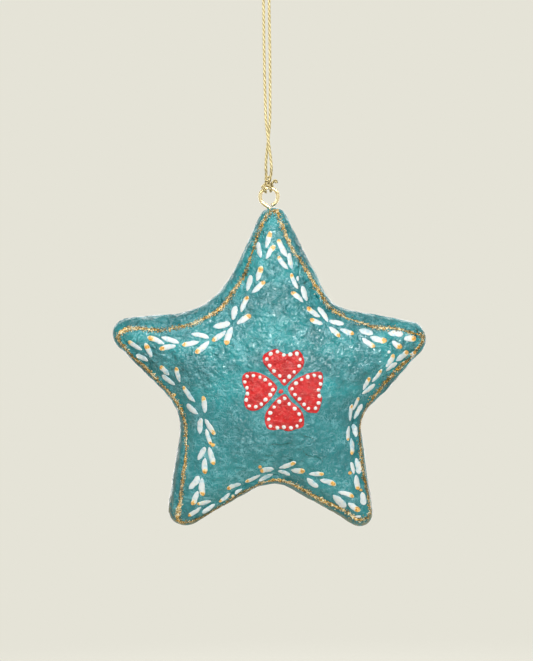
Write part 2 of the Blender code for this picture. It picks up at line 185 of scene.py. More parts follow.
class Nodes:
    """Short calls for building a node tree."""

    def __init__(self, tree):
        self.tree = tree

    def fill(self, node, inputs):
        """Link or set a node's sockets. A colour is given as three numbers."""
        for key, value in inputs.items():
            socket = node.inputs[key]
            if isinstance(value, bpy.types.NodeSocket):
                self.tree.links.new(value, socket)
            elif socket.type == "RGBA":
                socket.default_value = (*value, 1.0)
            else:
                socket.default_value = value

    def add(self, kind, inputs=None, **settings):
        """A node with its settings and its sockets' values or links."""
        node = self.tree.nodes.new(kind)
        for name, value in settings.items():
            setattr(node, name, value)
        self.fill(node, inputs or {})
        return node

    def math(self, operation, *values, clamp=False):
        """Result of a math node."""
        inputs = dict(enumerate(values))
        return self.add("ShaderNodeMath", inputs, operation=operation, use_clamp=clamp).outputs[0]

    def plus(self, first, second):
        """Sum of two values."""
        return self.math("ADD", first, second)

    def times(self, first, second):
        """Product of two values."""
        return self.math("MULTIPLY", first, second)

    def larger(self, first, second):
        """The larger of two values."""
        return self.math("MAXIMUM", first, second)

    def vectors(self, operation, *values):
        """Result of a vector math node: a vector, or a length as a value."""
        node = self.add("ShaderNodeVectorMath", dict(enumerate(values)), operation=operation)
        return node.outputs["Value" if operation == "LENGTH" else "Vector"]

    def mix(self, factor, first, second):
        """Colour between two others."""
        return self.add("ShaderNodeMix", {0: factor, 6: first, 7: second}, data_type="RGBA").outputs[2]

    def span(self, value, low, high, to_low=0.0, to_high=1.0):
        """Value mapped smoothly from one range to another."""
        inputs = {"Value": value, "From Min": low, "From Max": high, "To Min": to_low, "To Max": to_high}
        return self.add("ShaderNodeMapRange", inputs, interpolation_type="SMOOTHSTEP").outputs["Result"]

    def noise(self, vector, scale, detail=3.0, rough=0.5, twist=0.0, out="Fac"):
        """Noise value, with scale in features per unit of the vector, or its colour."""
        inputs = {"Vector": vector, "Scale": scale, "Detail": detail, "Roughness": rough, "Distortion": twist}
        return self.add("ShaderNodeTexNoise", inputs).outputs[out]

    def mapping(self, vector, scale=(1.0, 1.0, 1.0), turn=(0.0, 0.0, 0.0)):
        """Vector scaled and turned."""
        return self.add("ShaderNodeMapping", {"Vector": vector, "Scale": scale, "Rotation": turn}).outputs[0]

    def bump(self, height, distance, strength=1.0, under=None):
        """Normal bumped by a height, which is a share of the distance."""
        inputs = {"Height": height, "Distance": distance, "Strength": strength}
        if under:
            inputs["Normal"] = under
        return self.add("ShaderNodeBump", inputs).outputs[0]

    def spot(self, out="Object"):
        """Place on the mesh, in metres or as its texture places."""
        return self.add("ShaderNodeTexCoord").outputs[out]

    def skin_spot(self):
        """Place on the mesh in millimetres."""
        return self.mapping(self.spot(), (1 / MM, 1 / MM, 1 / MM))

    def axes(self, vector):
        """X, Y and Z of a vector."""
        return self.add("ShaderNodeSeparateXYZ", {0: vector}).outputs

    def kept(self, name):
        """Value kept at the mesh's points under a name."""
        return self.add("ShaderNodeAttribute", attribute_name=name).outputs["Fac"]


class Finish(Nodes):
    """Nodes of a new material with its Principled shader."""

    def __init__(self, name):
        self.material = bpy.data.materials.new(name)
        self.material.use_nodes = True
        super().__init__(self.material.node_tree)
        self.shader = self.tree.nodes["Principled BSDF"]

    def plug(self, **sockets):
        """The material, its shader's sockets set or linked. An underscore stands for a space."""
        self.fill(self.shader, {name.replace("_", " "): value for name, value in sockets.items()})
        return self.material


LIGHT_LEVEL = 0.16
LIGHT_COLOUR = (1.0, 0.99, 0.965)


def make_world():
    """Plain pale surroundings: the photograph's colour where seen, softer light elsewhere."""
    world = bpy.data.worlds.new("room")
    bpy.context.scene.world = world
    world.use_nodes = True
    nodes = Nodes(world.node_tree)
    world.node_tree.nodes.clear()
    path = nodes.add("ShaderNodeLightPath").outputs
    seen = nodes.plus(path["Is Camera Ray"], path["Is Glossy Ray"])
    seen = nodes.math("ADD", seen, path["Is Transmission Ray"], clamp=True)
    light = nodes.add("ShaderNodeBackground", {"Color": LIGHT_COLOUR, "Strength": LIGHT_LEVEL})
    room = nodes.add("ShaderNodeBackground", {"Color": BACKGROUND, "Strength": 1.0})
    both = nodes.add("ShaderNodeMixShader", {0: seen, 1: light.outputs[0], 2: room.outputs[0]})
    nodes.add("ShaderNodeOutputWorld", {"Surface": both.outputs[0]})


FLOOR_LEVEL = -0.30
FLOOR_RADIUS = 0.62
FLOOR_SIDES = 96


def make_floor():
    """A pale floor under the ornament, which fades into the room at its rim."""
    points = [(0.0, 0.0, FLOOR_LEVEL)]
    for angle in turns(FLOOR_SIDES):
        points.append((FLOOR_RADIUS * math.cos(angle), FLOOR_RADIUS * math.sin(angle), FLOOR_LEVEL))
    nodes = Finish("pale floor")
    material = nodes.plug(Base_Color=BACKGROUND, Roughness=0.9)
    away = nodes.vectors("LENGTH", nodes.mapping(nodes.spot(), (1.0, 1.0, 0.0)))
    fade = nodes.span(away, FLOOR_RADIUS * 0.35, FLOOR_RADIUS * 0.97)
    clear = nodes.add("ShaderNodeBsdfTransparent")
    both = nodes.add("ShaderNodeMixShader", {0: fade, 1: nodes.shader.outputs[0], 2: clear.outputs[0]})
    nodes.tree.links.new(both.outputs[0], nodes.tree.nodes["Material Output"].inputs["Surface"])
    floor = add_mesh("floor", points, fan(0, 1, FLOOR_SIDES), material)


# Shared mesh code

def add_mesh(name, points, faces, material, attributes=None, uv=None):
    """A smooth mesh object, with values at its points and texture places if given."""
    mesh = bpy.data.meshes.new(name)
    mesh.from_pydata([tuple(point) for point in points], [], faces)
    mesh.shade_smooth()
    for key, values in (attributes or {}).items():
        layer = mesh.attributes.new(key, "FLOAT", "POINT")
        layer.data.foreach_set("value", np.asarray(values, np.float32))
    if uv is not None:
        layer = mesh.uv_layers.new(name="UVMap")
        corners = np.zeros(len(mesh.loops), np.int32)
        mesh.loops.foreach_get("vertex_index", corners)
        layer.data.foreach_set("uv", np.asarray(uv, np.float32)[corners].ravel())
    mesh.materials.append(material)
    return new_object(name, mesh)


def turns(count):
    """Angles of a number of even steps round a circle."""
    return [math.tau * i / count for i in range(count)]


def grid_faces(rows, count, first=0, wrap_rows=False, flip=False):
    """Quads between rows of points that each go right round."""
    faces = []
    for row in range(rows if wrap_rows else rows - 1):
        below = first + row * count
        above = first + (row + 1) % rows * count
        for i in range(count):
            j = (i + 1) % count
            face = (below + i, below + j, above + j, above + i)
            faces.append(face[::-1] if flip else face)
    return faces


def fan(tip, first, count, flip=False):
    """Triangles between a tip and the closed row of points that starts at first."""
    faces = []
    for i in range(count):
        near = first + i
        far = first + (i + 1) % count
        faces.append((tip, far, near) if flip else (tip, near, far))
    return faces


def length_along(points):
    """Length of a path up to each of its points."""
    return np.concatenate([[0], np.cumsum(np.linalg.norm(np.diff(points, axis=0), axis=1))])


def read_off(wanted, lengths, rows):
    """Rows of values at the wanted lengths, between those at the given lengths."""
    return np.array([np.interp(wanted, lengths, column) for column in np.asarray(rows).T]).T


def frames_along(points):
    """Two crosswise directions at each point of a path, without spin."""
    tangents = np.gradient(points, axis=0)
    tangents /= np.linalg.norm(tangents, axis=1)[:, None]
    side = np.cross(tangents[0], (0.0, 1.0, 0.0))
    if np.linalg.norm(side) < 0.1:
        side = np.cross(tangents[0], (1.0, 0.0, 0.0))
    sides = []
    for tangent in tangents:
        side = side - tangent * (side @ tangent)
        side = side / np.linalg.norm(side)
        sides.append(side)
    sides = np.array(sides)
    return sides, np.cross(tangents, sides)


def tube_parts(points, radii, sides, first=0):
    """Points, faces and texture places (in millimetres) of a tube with closed ends."""
    across, over = frames_along(points)
    lengths = length_along(points) / MM
    angles = np.array(turns(sides))
    away = np.cos(angles)[None, :, None] * across[:, None] + np.sin(angles)[None, :, None] * over[:, None]
    rings = points[:, None] + np.broadcast_to(radii, len(points))[:, None, None] * away
    verts = list(rings.reshape(-1, 3)) + [points[0], points[-1]]
    places = [(angle / math.tau, length) for length in lengths for angle in angles]
    places += [(0.5, lengths[0]), (0.5, lengths[-1])]
    start = first + len(points) * sides
    faces = grid_faces(len(points), sides, first)
    faces += fan(start, first, sides, True) + fan(start + 1, start - sides, sides)
    return verts, faces, places


def curve_between(before, start, end, after, steps):
    """Points of a smooth curve from start up to the last step before end."""
    found = []
    for step in range(steps):
        t = step / steps
        found.append(
            0.5 * (2 * start + (end - before) * t + (2 * before - 5 * start + 4 * end - after) * t ** 2
            + (3 * start - before - 3 * end + after) * t ** 3)
        )
    return found


# Steps of a smooth route between two of its knots
KNOT_STEPS = 8


def smooth_route(knots, step):
    """Points about one step apart on a smooth curve through the knots."""
    knots = [Vector(knot) for knot in knots]
    padded = knots[:1] + knots + knots[-1:]
    fine = []
    for i in range(len(knots) - 1):
        fine += curve_between(*padded[i : i + 4], KNOT_STEPS)
    fine = np.array([tuple(point) for point in fine + knots[-1:]])
    lengths = length_along(fine)
    wanted = np.linspace(0, lengths[-1], round(lengths[-1] / step) + 1)
    return read_off(wanted, lengths, fine)


def closed_curve(knots, steps):
    """Points on a smooth closed curve through the knots, with steps points between each two."""
    table = np.array(knots, float)
    points = []
    for i in range(len(table)):
        points += curve_between(*(table[(i + k) % len(table)] for k in (-1, 0, 1, 2)), steps)
    return np.array(points)


def metres(knots, base=(0.0, 0.0, 0.0)):
    """Places of points that are given in millimetres from a base."""
    return [[middle + value * MM for middle, value in zip(base, knot)] for knot in knots]


def smooth_step(low, high, value):
    """0 below low, 1 above high, and smooth between."""
    share = np.clip((value - low) / (high - low), 0, 1)
    return share * share * (3 - 2 * share)


# Cord: three strands laid up with an S twist

STRANDS = 3
STRAND_RADIUS = 0.235 * MM
STRAND_OFFSET = 0.245 * MM
LAY_LENGTH = 4.8 * MM
CORD_STEP = 0.25 * MM
STRAND_SIDES = 10
# Distances from the cord's middle at which the painted shade in the grooves between strands is darkest, and
# at which the crests are palest
GROOVE_SHADE_DEPTH = 0.29 * MM
CREST_LIGHT_DEPTH = 0.46 * MM


def gold_cord_material():
    """Metallic yarn: fine filaments wound along each strand, darker between them, with painted shade in the
    grooves between the strands.
    """
    nodes = Finish("gold cord yarn")
    place = nodes.spot("UV")
    split = nodes.axes(place)
    wound = nodes.plus(nodes.times(split["X"], 7.0), nodes.times(split["Y"], 4.4))
    wave = nodes.math("SINE", nodes.times(wound, math.tau))
    filament = nodes.math("MULTIPLY_ADD", wave, 0.5, 0.5)
    blotch = nodes.noise(nodes.mapping(place, (2.0, 0.5, 1.0)), 1.0)
    tone = nodes.mix(filament, linear(214, 190, 122), linear(255, 247, 206))
    tone = nodes.mix(nodes.span(blotch, 0.42, 0.62), tone, linear(244, 229, 172))
    # Painted shade: the grooves between strands go dark brown, the crests keep the yarn's tone
    tone = nodes.mix(nodes.kept("lit_crest"), linear(110, 86, 30), tone)
    return nodes.plug(
        Base_Color=tone, Metallic=0.6, Roughness=nodes.span(blotch, 0.3, 0.7, 0.32, 0.5),
        Normal=nodes.bump(filament, 0.03 * MM),
    )


def lay_up(name, path, material, turn=0.0, pale=1.0):
    """Strands wound along a path as one mesh, with painted shade in the grooves between them and crests as
    pale as given, up to 1; less than 1 lays painted shade over the whole piece.
    """
    across, over = frames_along(path)
    wound = math.tau * length_along(path) / LAY_LENGTH
    points = []
    faces = []
    places = []
    crests = []
    for strand, lead in enumerate(turns(STRANDS)):
        angle = turn + lead - wound
        line = path + STRAND_OFFSET * (np.cos(angle)[:, None] * across + np.sin(angle)[:, None] * over)
        verts, sides, spots = tube_parts(line, STRAND_RADIUS, STRAND_SIDES, len(points))
        away = np.linalg.norm(np.array(verts[:-2]).reshape(len(path), -1, 3) - path[:, None], axis=2)
        # Painted shade: 0 in the grooves between strands, rising to the given paleness on the crests
        crests += list(pale * smooth_step(GROOVE_SHADE_DEPTH, CREST_LIGHT_DEPTH, away).ravel()) + [0.0, 0.0]
        points += verts
        faces += sides
        places += [(u + strand * 0.37, v) for u, v in spots]
    return add_mesh(name, points, faces, material, {"lit_crest": crests}, places)


def make_loop(material):
    """The free cord, from the knot up over the hook and down again."""
    route = smooth_route(metres(CORD_ROUTE), CORD_STEP)
    loop = lay_up("cord_strands", route, material)
    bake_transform(loop)
    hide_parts("cord_loop")


WOUND_STEP = 0.12 * MM
# Painted shade: the knot, hitch and necks keep their crests only this pale, so the same yarn comes out darker
# there
KNOT_CREST_LIGHT = 0.7
# The curl that closes the hitch, and the cord's way into it and out of it, over the ring's top
KNOT_BASE = (0.0, 0.0, -HANG_DROP)
CURL_RADIUS = 0.66 * MM
CURL_PITCH = 1.0 * MM
CURL_TURNS = 1.5
CURL_STEPS = 18
CURL_CENTRE = (-0.25, -0.35, 2.75)
CURL_ENTRY = (0.8, -1.0, 4.6)
CURL_EXIT = (-0.8, 0.85, 4.5)


def make_knot(material):
    """The overhand turn: a curl and a half in front of the cord, drawn tight on the hitch."""
    centre, entry, leave = metres((CURL_CENTRE, CURL_ENTRY, CURL_EXIT), KNOT_BASE)
    points = metres(CORD_ROUTE[:1]) + [entry]
    for step in range(CURL_STEPS + 1):
        share = step / CURL_STEPS
        turn = math.tau * CURL_TURNS * share
        depth = CURL_PITCH * CURL_TURNS * (share - 0.5)
        points.append(
            Vector(centre) + Vector((CURL_RADIUS * math.cos(turn), depth, -CURL_RADIUS * math.sin(turn)))
        )
    points += [leave] + metres(CORD_ROUTE[-1:])
    knot = lay_up("knot_strands", smooth_route(points, WOUND_STEP), material, pale=KNOT_CREST_LIGHT)
    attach(knot, "knot")
    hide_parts("cord_knot")


# Hitch: place round the ring and round the wire in degrees, and the distance from the wire's middle
HITCH_TURNS = (
    (-20, 300, 1.25), (-31, 340, 1.2), (-34, 380, 1.12), (-34, 440, 1.12), (-34, 500, 1.12),
    (-31, 560, 1.12), (-25, 610, 1.14), (-13, 660, 1.2), (2, 700, 1.2), (13, 730, 1.12),
    (17, 780, 1.12), (18, 840, 1.12), (18, 900, 1.12), (17, 950, 1.14), (14, 990, 1.25),
)
# Cut ends, from the ring's top, and the turn of the strands at the first
LEFT_END = ((-2.35, -0.95, 0.1), (-1.75, -1.05, 0.55), (-1.3, -0.95, 1.15))
RIGHT_END = ((1.15, -0.35, 1.6), (1.75, -0.6, 2.15), (2.3, -0.75, 2.1), (2.5, -0.8, 1.45))
HITCH_TWIST = 0.8


def on_wire(round_ring, round_wire, away):
    """A point beside the ring's wire."""
    ring = math.radians(round_ring)
    turn = math.radians(round_wire)
    outward = Vector((math.sin(ring), 0.0, math.cos(ring)))
    middle = RING_CENTRE + outward * RING_RADIUS
    return middle + (Vector((0.0, -1.0, 0.0)) * math.cos(turn) - outward * math.sin(turn)) * away * MM


def make_hitch(material):
    """Two turns round the wire, with a short cut end at the left and a curled one at the right."""
    wound = [on_wire(*turn) for turn in HITCH_TURNS]
    points = metres(LEFT_END, KNOT_BASE) + wound + metres(RIGHT_END, KNOT_BASE)
    hitch = lay_up("hitch_strands", smooth_route(points, WOUND_STEP), material, HITCH_TWIST, KNOT_CREST_LIGHT)
    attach(hitch, "hitch")
    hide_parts("cord_hitch")


# Where the two ends of the cord run down from the knot into the hitch
NECKS = {
    "left": ((-0.75, -0.10, -67.6), (-0.90, -0.35, -68.3), (-0.85, -0.60, -69.1)),
    "right": ((0.15, 0.10, -68.0), (0.10, -0.40, -68.7), (0.20, -0.85, -69.4)),
}


def make_necks(material):
    """The short stretches between the knot and the hitch."""
    for side, knots in NECKS.items():
        route = smooth_route(metres(knots), WOUND_STEP)
        neck = lay_up("neck_strands_" + side, route, material, pale=KNOT_CREST_LIGHT)
        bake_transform(neck)


# Wire eye and peg

EYE_STEP = 0.2 * MM
EYE_SIDES = 24
BEND_STEPS = 8
RING_STEPS = 78


def clockwise(angle):
    """Unit vector in the XZ plane at an angle clockwise from the top, in radians."""
    return np.array([math.sin(angle), math.cos(angle)])


def eye_path():
    """Shank, bend, tangent lead and ring, as points about the ring's centre."""
    angle = math.radians(RING_START)
    forward = np.array([math.cos(angle), -math.sin(angle)])
    start = RING_RADIUS * clockwise(angle) - SHANK_LEAD * forward
    bend = math.acos(forward[1])
    top = start + SHANK_BEND * np.array([1 - math.cos(bend), -math.sin(bend)])
    path = [top - np.array([0.0, SHANK_LENGTH * share]) for share in (1.0, 0.6, 0.3, 0.1, 0.0)]
    for step in range(1, BEND_STEPS + 1):
        turn = bend * step / BEND_STEPS
        path.append(top + SHANK_BEND * np.array([math.cos(turn) - 1, math.sin(turn)]))
    path += [start + SHANK_LEAD * share * forward for share in (0.35, 0.7)]
    for step in range(RING_STEPS + 1):
        turn = RING_START + (RING_END - RING_START) * step / RING_STEPS
        path.append(RING_RADIUS * clockwise(math.radians(turn)))
    return [RING_CENTRE + Vector((x, 0.0, z)) for x, z in path]


def brass_material():
    """Bright drawn brass: faint die lines along the wire, soft stains, a darker cut face."""
    nodes = Finish("bright brass wire")
    lines = nodes.noise(nodes.mapping(nodes.spot("UV"), (40.0, 0.25, 1.0)), 1.0, 2.0)
    stain = nodes.noise(nodes.spot(), 700.0, 4.0)
    tone = nodes.mix(nodes.span(stain, 0.4, 0.7), linear(240, 226, 186), linear(214, 190, 140))
    tone = nodes.mix(nodes.kept("cut_end"), tone, linear(70, 52, 24))
    return nodes.plug(
        Base_Color=tone, Metallic=1.0, Roughness=nodes.span(lines, 0.3, 0.7, 0.16, 0.3),
        Normal=nodes.bump(lines, 0.01 * MM),
    )


def make_eye():
    """The wire eye, bent from one piece, with its cut end open beside the shank."""
    points = smooth_route(eye_path(), EYE_STEP)
    radii = np.full(len(points), WIRE_DIAMETER / 2)
    radii[-1] *= 0.9
    verts, faces, places = tube_parts(points, radii, EYE_SIDES)
    cut = np.zeros(len(verts))
    cut[-2 - EYE_SIDES : -2] = 0.75
    cut[-1] = 1.0
    eye = add_mesh("wire_eye", verts, faces, brass_material(), {"cut_end": cut}, places)
    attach(eye, "star")
    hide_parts("screw_eye")


def peg_material():
    """Bare turned wood with grain along the peg."""
    nodes = Finish("turned peg wood")
    grain = nodes.noise(nodes.mapping(nodes.spot(), (1400.0, 1400.0, 90.0)), 1.0, 4.0, 0.6, 0.4)
    tone = nodes.mix(nodes.span(grain, 0.35, 0.65), linear(176, 140, 96), linear(214, 184, 138))
    return nodes.plug(
        Base_Color=tone, Roughness=nodes.span(grain, 0.3, 0.7, 0.62, 0.8),
        Normal=nodes.bump(grain, 0.06 * MM),
    )


# Star: outline and height, as in the CAD source but finer

# Depth at which the rim ends and the face begins, and the shell's distance from the outline
RIM_DEPTH = SEAM_GAP / 2 + RIM
SHELL_INSET = STRIP_THICKNESS + CLEARANCE
TIP_SEGMENTS = 40
VALLEY_SEGMENTS = 40
SIDE_SEGMENTS = 40
RING_POINTS = 640


def turned(vector, angle):
    """A 2D vector turned anticlockwise."""
    c = math.cos(angle)
    s = math.sin(angle)
    return np.array([vector[0] * c - vector[1] * s, vector[0] * s + vector[1] * c])


def outline_circles(inset):
    """Centre, radius and side (1 tip, -1 valley) of each arc, the star drawn in by inset."""
    circles = []
    for tip, valley in zip(TIPS, VALLEYS):
        radius = ARM_TIP_RADIUS * tip[2]
        centre = clockwise(math.radians(tip[0] + STAR_LEAN)) * (ARM_REACH * tip[1] - radius)
        circles.append((centre, radius - inset, 1))
        radius = VALLEY_RADIUS * valley[2]
        centre = clockwise(math.radians(valley[0] + STAR_LEAN)) * (VALLEY_REACH * valley[1] + radius)
        circles.append((centre, radius + inset, -1))
    return circles


def tangent_points(circle, following):
    """Ends of the straight side between two neighbouring arcs."""
    centre, radius, side = circle
    next_centre, next_radius, _ = following
    span = next_centre - centre
    length = math.hypot(*span)
    lean = math.acos((radius + next_radius) / length)
    normal = turned(span / length, side * lean)
    return centre + radius * normal, next_centre - next_radius * normal


def outline(inset=0.0):
    """Evenly spaced points round the star, clockwise from the top, and the inward normals."""
    circles = outline_circles(inset)
    count = len(circles)
    sides = [tangent_points(circles[i], circles[(i + 1) % count]) for i in range(count)]
    rows = []
    for i, (centre, radius, side) in enumerate(circles):
        start = sides[i - 1][1] - centre
        end = sides[i][0] - centre
        first = math.atan2(start[0], start[1])
        sweep = (math.atan2(end[0], end[1]) - first) % math.tau
        if side < 0:
            sweep -= math.tau
        steps = TIP_SEGMENTS if side > 0 else VALLEY_SEGMENTS
        for step in range(steps + 1):
            outward = clockwise(first + sweep * step / steps)
            rows.append((*(centre + radius * outward), *(-side * outward)))
        for step in range(1, SIDE_SEGMENTS):
            share = step / SIDE_SEGMENTS
            rows.append((*(sides[i][0] * (1 - share) + sides[i][1] * share), *(-side * outward)))
    rows = np.array(rows + rows[:1])
    lengths = length_along(rows[:, :2])
    even = read_off(np.arange(RING_POINTS) * lengths[-1] / RING_POINTS, lengths, rows)
    even[:, 2:] /= np.linalg.norm(even[:, 2:], axis=1)[:, None]
    return even[:, :2], even[:, 2:]


# How many spots are worked out at once, and their least distance from a side's line
PULL_BATCH = 4000
LEAST_BESIDE = 0.001 * MM


def pull(spots, ring):
    """How open each spot is: the inverse of the outline's summed inverse square distance."""
    ring = ring[::2]
    along = np.roll(ring, -1, axis=0) - ring
    length = np.hypot(along[:, 0], along[:, 1])
    along = along / length[:, None]
    found = []
    for start in range(0, len(spots), PULL_BATCH):
        away = spots[start : start + PULL_BATCH, None, :] - ring[None, :, :]
        before = np.einsum("ijk,jk->ij", away, along)
        beside = np.abs(away[:, :, 0] * along[:, 1] - away[:, :, 1] * along[:, 0])
        beside = np.maximum(beside, LEAST_BESIDE)
        total = (np.arctan((length - before) / beside) + np.arctan(before / beside)) / beside
        found.append(1.0 / total.sum(axis=1))
    return np.concatenate(found)


def face_height(spots, ring, crown):
    """Height of the puffed face over the rim."""
    centre = pull(np.zeros((1, 2)), ring)[0]
    return crown * (pull(spots, ring) / centre) ** EDGE_POWER


def star_points(spots, depths):
    """Points of the star's plane and their depths as points of the ornament."""
    return np.array(STAR_CENTRE) + np.column_stack([spots[:, 0], depths, spots[:, 1]])


# The moulded surface's lumps (size and height), and the crumple's size, height and drift (millimetres)
LUMPS = ((13.0, 0.34), (5.5, 0.3), (2.7, 0.18))
CRUMPLE = (2.6, 0.055)
FINE = (1.3, 0.03)
DRIFT = (7.0, 2.2)

# Seed of the noise vectors, which would otherwise be placed by the clock
noise.seed_set(5)


def relief(point):
    """Height of the hand moulded surface over its plain form at a point, in metres."""
    p = Vector(point) / MM
    lumps = sum(height * noise.noise(p / size) for size, height in LUMPS)
    bent = p + noise.noise_vector(p / DRIFT[0]) * DRIFT[1]
    crumple = CRUMPLE[1] * (1.0 - 2.0 * abs(noise.noise(bent / CRUMPLE[0])))
    return (lumps + crumple + FINE[1] * noise.noise(bent / FINE[0])) * MM


def roughened(points, faces, amounts):
    """Points moved along their normals by the relief, each by its own share."""
    mesh = bpy.data.meshes.new("rough")
    mesh.from_pydata([tuple(point) for point in points], [], faces)
    normals = np.zeros(len(points) * 3, np.float32)
    mesh.vertices.foreach_get("normal", normals)
    bpy.data.meshes.remove(mesh)
    heights = np.array([relief(point) for point in points]) * amounts
    return points + normals.reshape(-1, 3) * heights[:, None]


# Rows of a shell's face: where the first lies and the last may lie, and how their spacing grows
FIRST_ROW = 0.0006
LAST_ROW = 0.985
ROW_GROWTH = 1.35
WIDEST_ROW = 0.0155
# Rows of its hollow inside, from the middle out, as shares of the way to the centre
INNER_ROWS = (0.8, 0.62, 0.45, 0.3, 0.18, 0.09, 0.03)


def row_shares():
    """Shares of the way to the centre of the face's rows: close at the edge, then even."""
    shares = []
    share = 0.0
    step = FIRST_ROW
    while share < LAST_ROW:
        share += step
        shares.append(share)
        step = min(step * ROW_GROWTH, WIDEST_ROW)
    return shares


def make_shell(name, side, node, material):
    """Skin of one half: wrinkled outer face, smooth hollow inside, closed at the seam."""
    ring, _ = outline(SHELL_INSET)
    inner, _ = outline(SHELL_INSET + WALL)
    count = len(ring)
    seam = np.full(count, SEAM_GAP / 2)
    rows = []
    for share in INNER_ROWS:
        row = inner * (1 - share)
        rows.append((row, RIM_DEPTH + face_height(row, inner, CROWN - WALL)))
    rows += [(inner, seam), (ring, seam), (ring, seam + RIM)]
    plain = len(rows) - 1
    for share in row_shares():
        row = ring * (1 - share)
        rows.append((row, RIM_DEPTH + face_height(row, ring, CROWN)))
    tip = len(rows) * count
    spots = np.concatenate([spot for spot, _ in rows] + [np.zeros((2, 2))])
    depths = np.concatenate([depth for _, depth in rows] + [[RIM_DEPTH + CROWN, RIM_DEPTH + CROWN - WALL]])
    amounts = np.ones(len(spots))
    amounts[: plain * count] = 0.0
    amounts[-1] = 0.0
    faces = grid_faces(len(rows), count, flip=side < 0)
    faces += fan(tip, tip - count, count, side < 0) + fan(tip + 1, 0, count, side > 0)
    points = roughened(star_points(spots, side * depths), faces, amounts)
    shell = add_mesh(name, points, faces, material)
    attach(shell, "star")
    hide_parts(node)
    return shell


# Strip: distance of its rows from the outline, and over which it thins out onto the shell's face
STRIP_INSETS = (0.0, 0.04, 0.1, 0.2, 0.35, 0.55, 0.8, 1.1, 1.4, 1.75, 2.1, 2.5, 2.9, 3.3)
THIN_FROM = 1.3
THIN_TO = 2.9
# How high its surface ends over the face, how deep its very edge sinks, and where that begins
EDGE_LIFT = 0.03
EDGE_SINK = 0.12
SINK_FROM = 2.8
# Its underside: how far in and how deep each row lies from one on top, and its share of the relief
UNDER_INSET = 0.25
UNDER_DEPTH = 0.2
UNDER_RELIEF = 0.6


def make_strip(material):
    """Skin of the pasted strip over the joint, whose edges thin out onto the faces."""
    ring, normals = outline()
    shell_ring, _ = outline(SHELL_INSET)
    rows = []
    for inset in STRIP_INSETS:
        spot = ring + normals * inset * MM
        height = np.full(len(ring), RIM_DEPTH)
        if inset:
            height = RIM_DEPTH + face_height(spot, ring, CROWN + SHELL_INSET)
        if inset > THIN_FROM:
            shell = RIM_DEPTH + face_height(spot, shell_ring, CROWN)
            merge = smooth_step(THIN_FROM, THIN_TO, inset)
            sink = EDGE_LIFT - EDGE_SINK * smooth_step(SINK_FROM, STRIP_INSETS[-1], inset)
            height = height * (1 - merge) + (shell + sink * MM) * merge
        rows.append((spot, height))
    under = []
    for inset, (_, height) in zip(STRIP_INSETS[::-3], rows[::-3]):
        under.append((ring + normals * (inset + UNDER_INSET) * MM, height - UNDER_DEPTH * MM))
    outer = [(spot, -height) for spot, height in rows[::-1]] + [(ring, np.zeros(len(ring)))] + rows
    inner = under + [(spot, -height) for spot, height in under[::-1]]
    spots, depths = (np.concatenate(part) for part in zip(*(outer + inner)))
    amounts = np.repeat([1.0] * len(outer) + [UNDER_RELIEF] * len(inner), len(ring))
    faces = grid_faces(len(outer + inner), len(ring), wrap_rows=True)
    strip = add_mesh("strip_skin", roughened(star_points(spots, depths), faces, amounts), faces, material)
    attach(strip, "star")
    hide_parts("seam_strip")
    return strip


# The pulp's ridges: stretch and turn of their noise, its scale, their width and their share of the height
RIDGES = (
    ((1.0, 1.0, 1.0), (0.3, 0.2, 0.5), 0.45, 0.05, 0.4),
    ((1.0, 1.2, 0.8), (1.3, 0.9, 0.1), 0.62, 0.055, 0.35),
    ((1.0, 1.0, 1.0), (2.1, 0.4, 1.7), 0.9, 0.07, 0.25),
)


def ridges(nodes, vector, scale, width):
    """Thin curly crests along the lines where a noise crosses its middle value."""
    value = nodes.noise(vector, scale, 0.0, 0.5, 0.6)
    away = nodes.math("ABSOLUTE", nodes.math("SUBTRACT", value, 0.5))
    return nodes.span(away, 0.0, width, 1.0, 0.0)


# Levels in millimetres: where the wrinkles soften, where the teal darkens with painted shade low on the star,
# where the wear of the strip begins and the painted shade along its middle is full, and where the bottom rims
# go olive
SOFT_TOP = -122.0
SOFT_FULL = -140.0
SHADE_TOP = -128.0
SHADE_FULL = -144.0
WEAR_AND_SHADE_TOP = -134.0
WEAR_FULL = -154.0
OLIVE_TOP = -166.0
OLIVE_FULL = -172.0


def wrinkles(nodes, spot):
    """Normal of the crumpled surface, softer low on the star, and its curly crests from 0 to 1."""
    drift = nodes.vectors("MULTIPLY", nodes.noise(spot, 0.3, 2.0, out="Color"), (3.0, 3.0, 3.0))
    bent = nodes.vectors("ADD", spot, drift)
    crests = [
        ridges(nodes, nodes.mapping(bent, stretch, turn), scale, width)
        for stretch, turn, scale, width, _ in RIDGES
    ]
    height = reduce(nodes.plus, [nodes.times(lit_crest, ridge[-1]) for lit_crest, ridge in zip(crests, RIDGES)])
    crisp = nodes.span(nodes.axes(spot)["Z"], SOFT_TOP, SOFT_FULL, 1.0, 0.5)
    normal = nodes.bump(nodes.noise(bent, 0.4, 0.0, 0.5, 0.4), 0.95 * MM, crisp)
    normal = nodes.bump(nodes.noise(bent, 0.8, 0.6, 0.5, 0.4), 0.75 * MM, crisp, normal)
    return nodes.bump(height, 0.1 * MM, 1.0, normal), reduce(nodes.larger, crests)


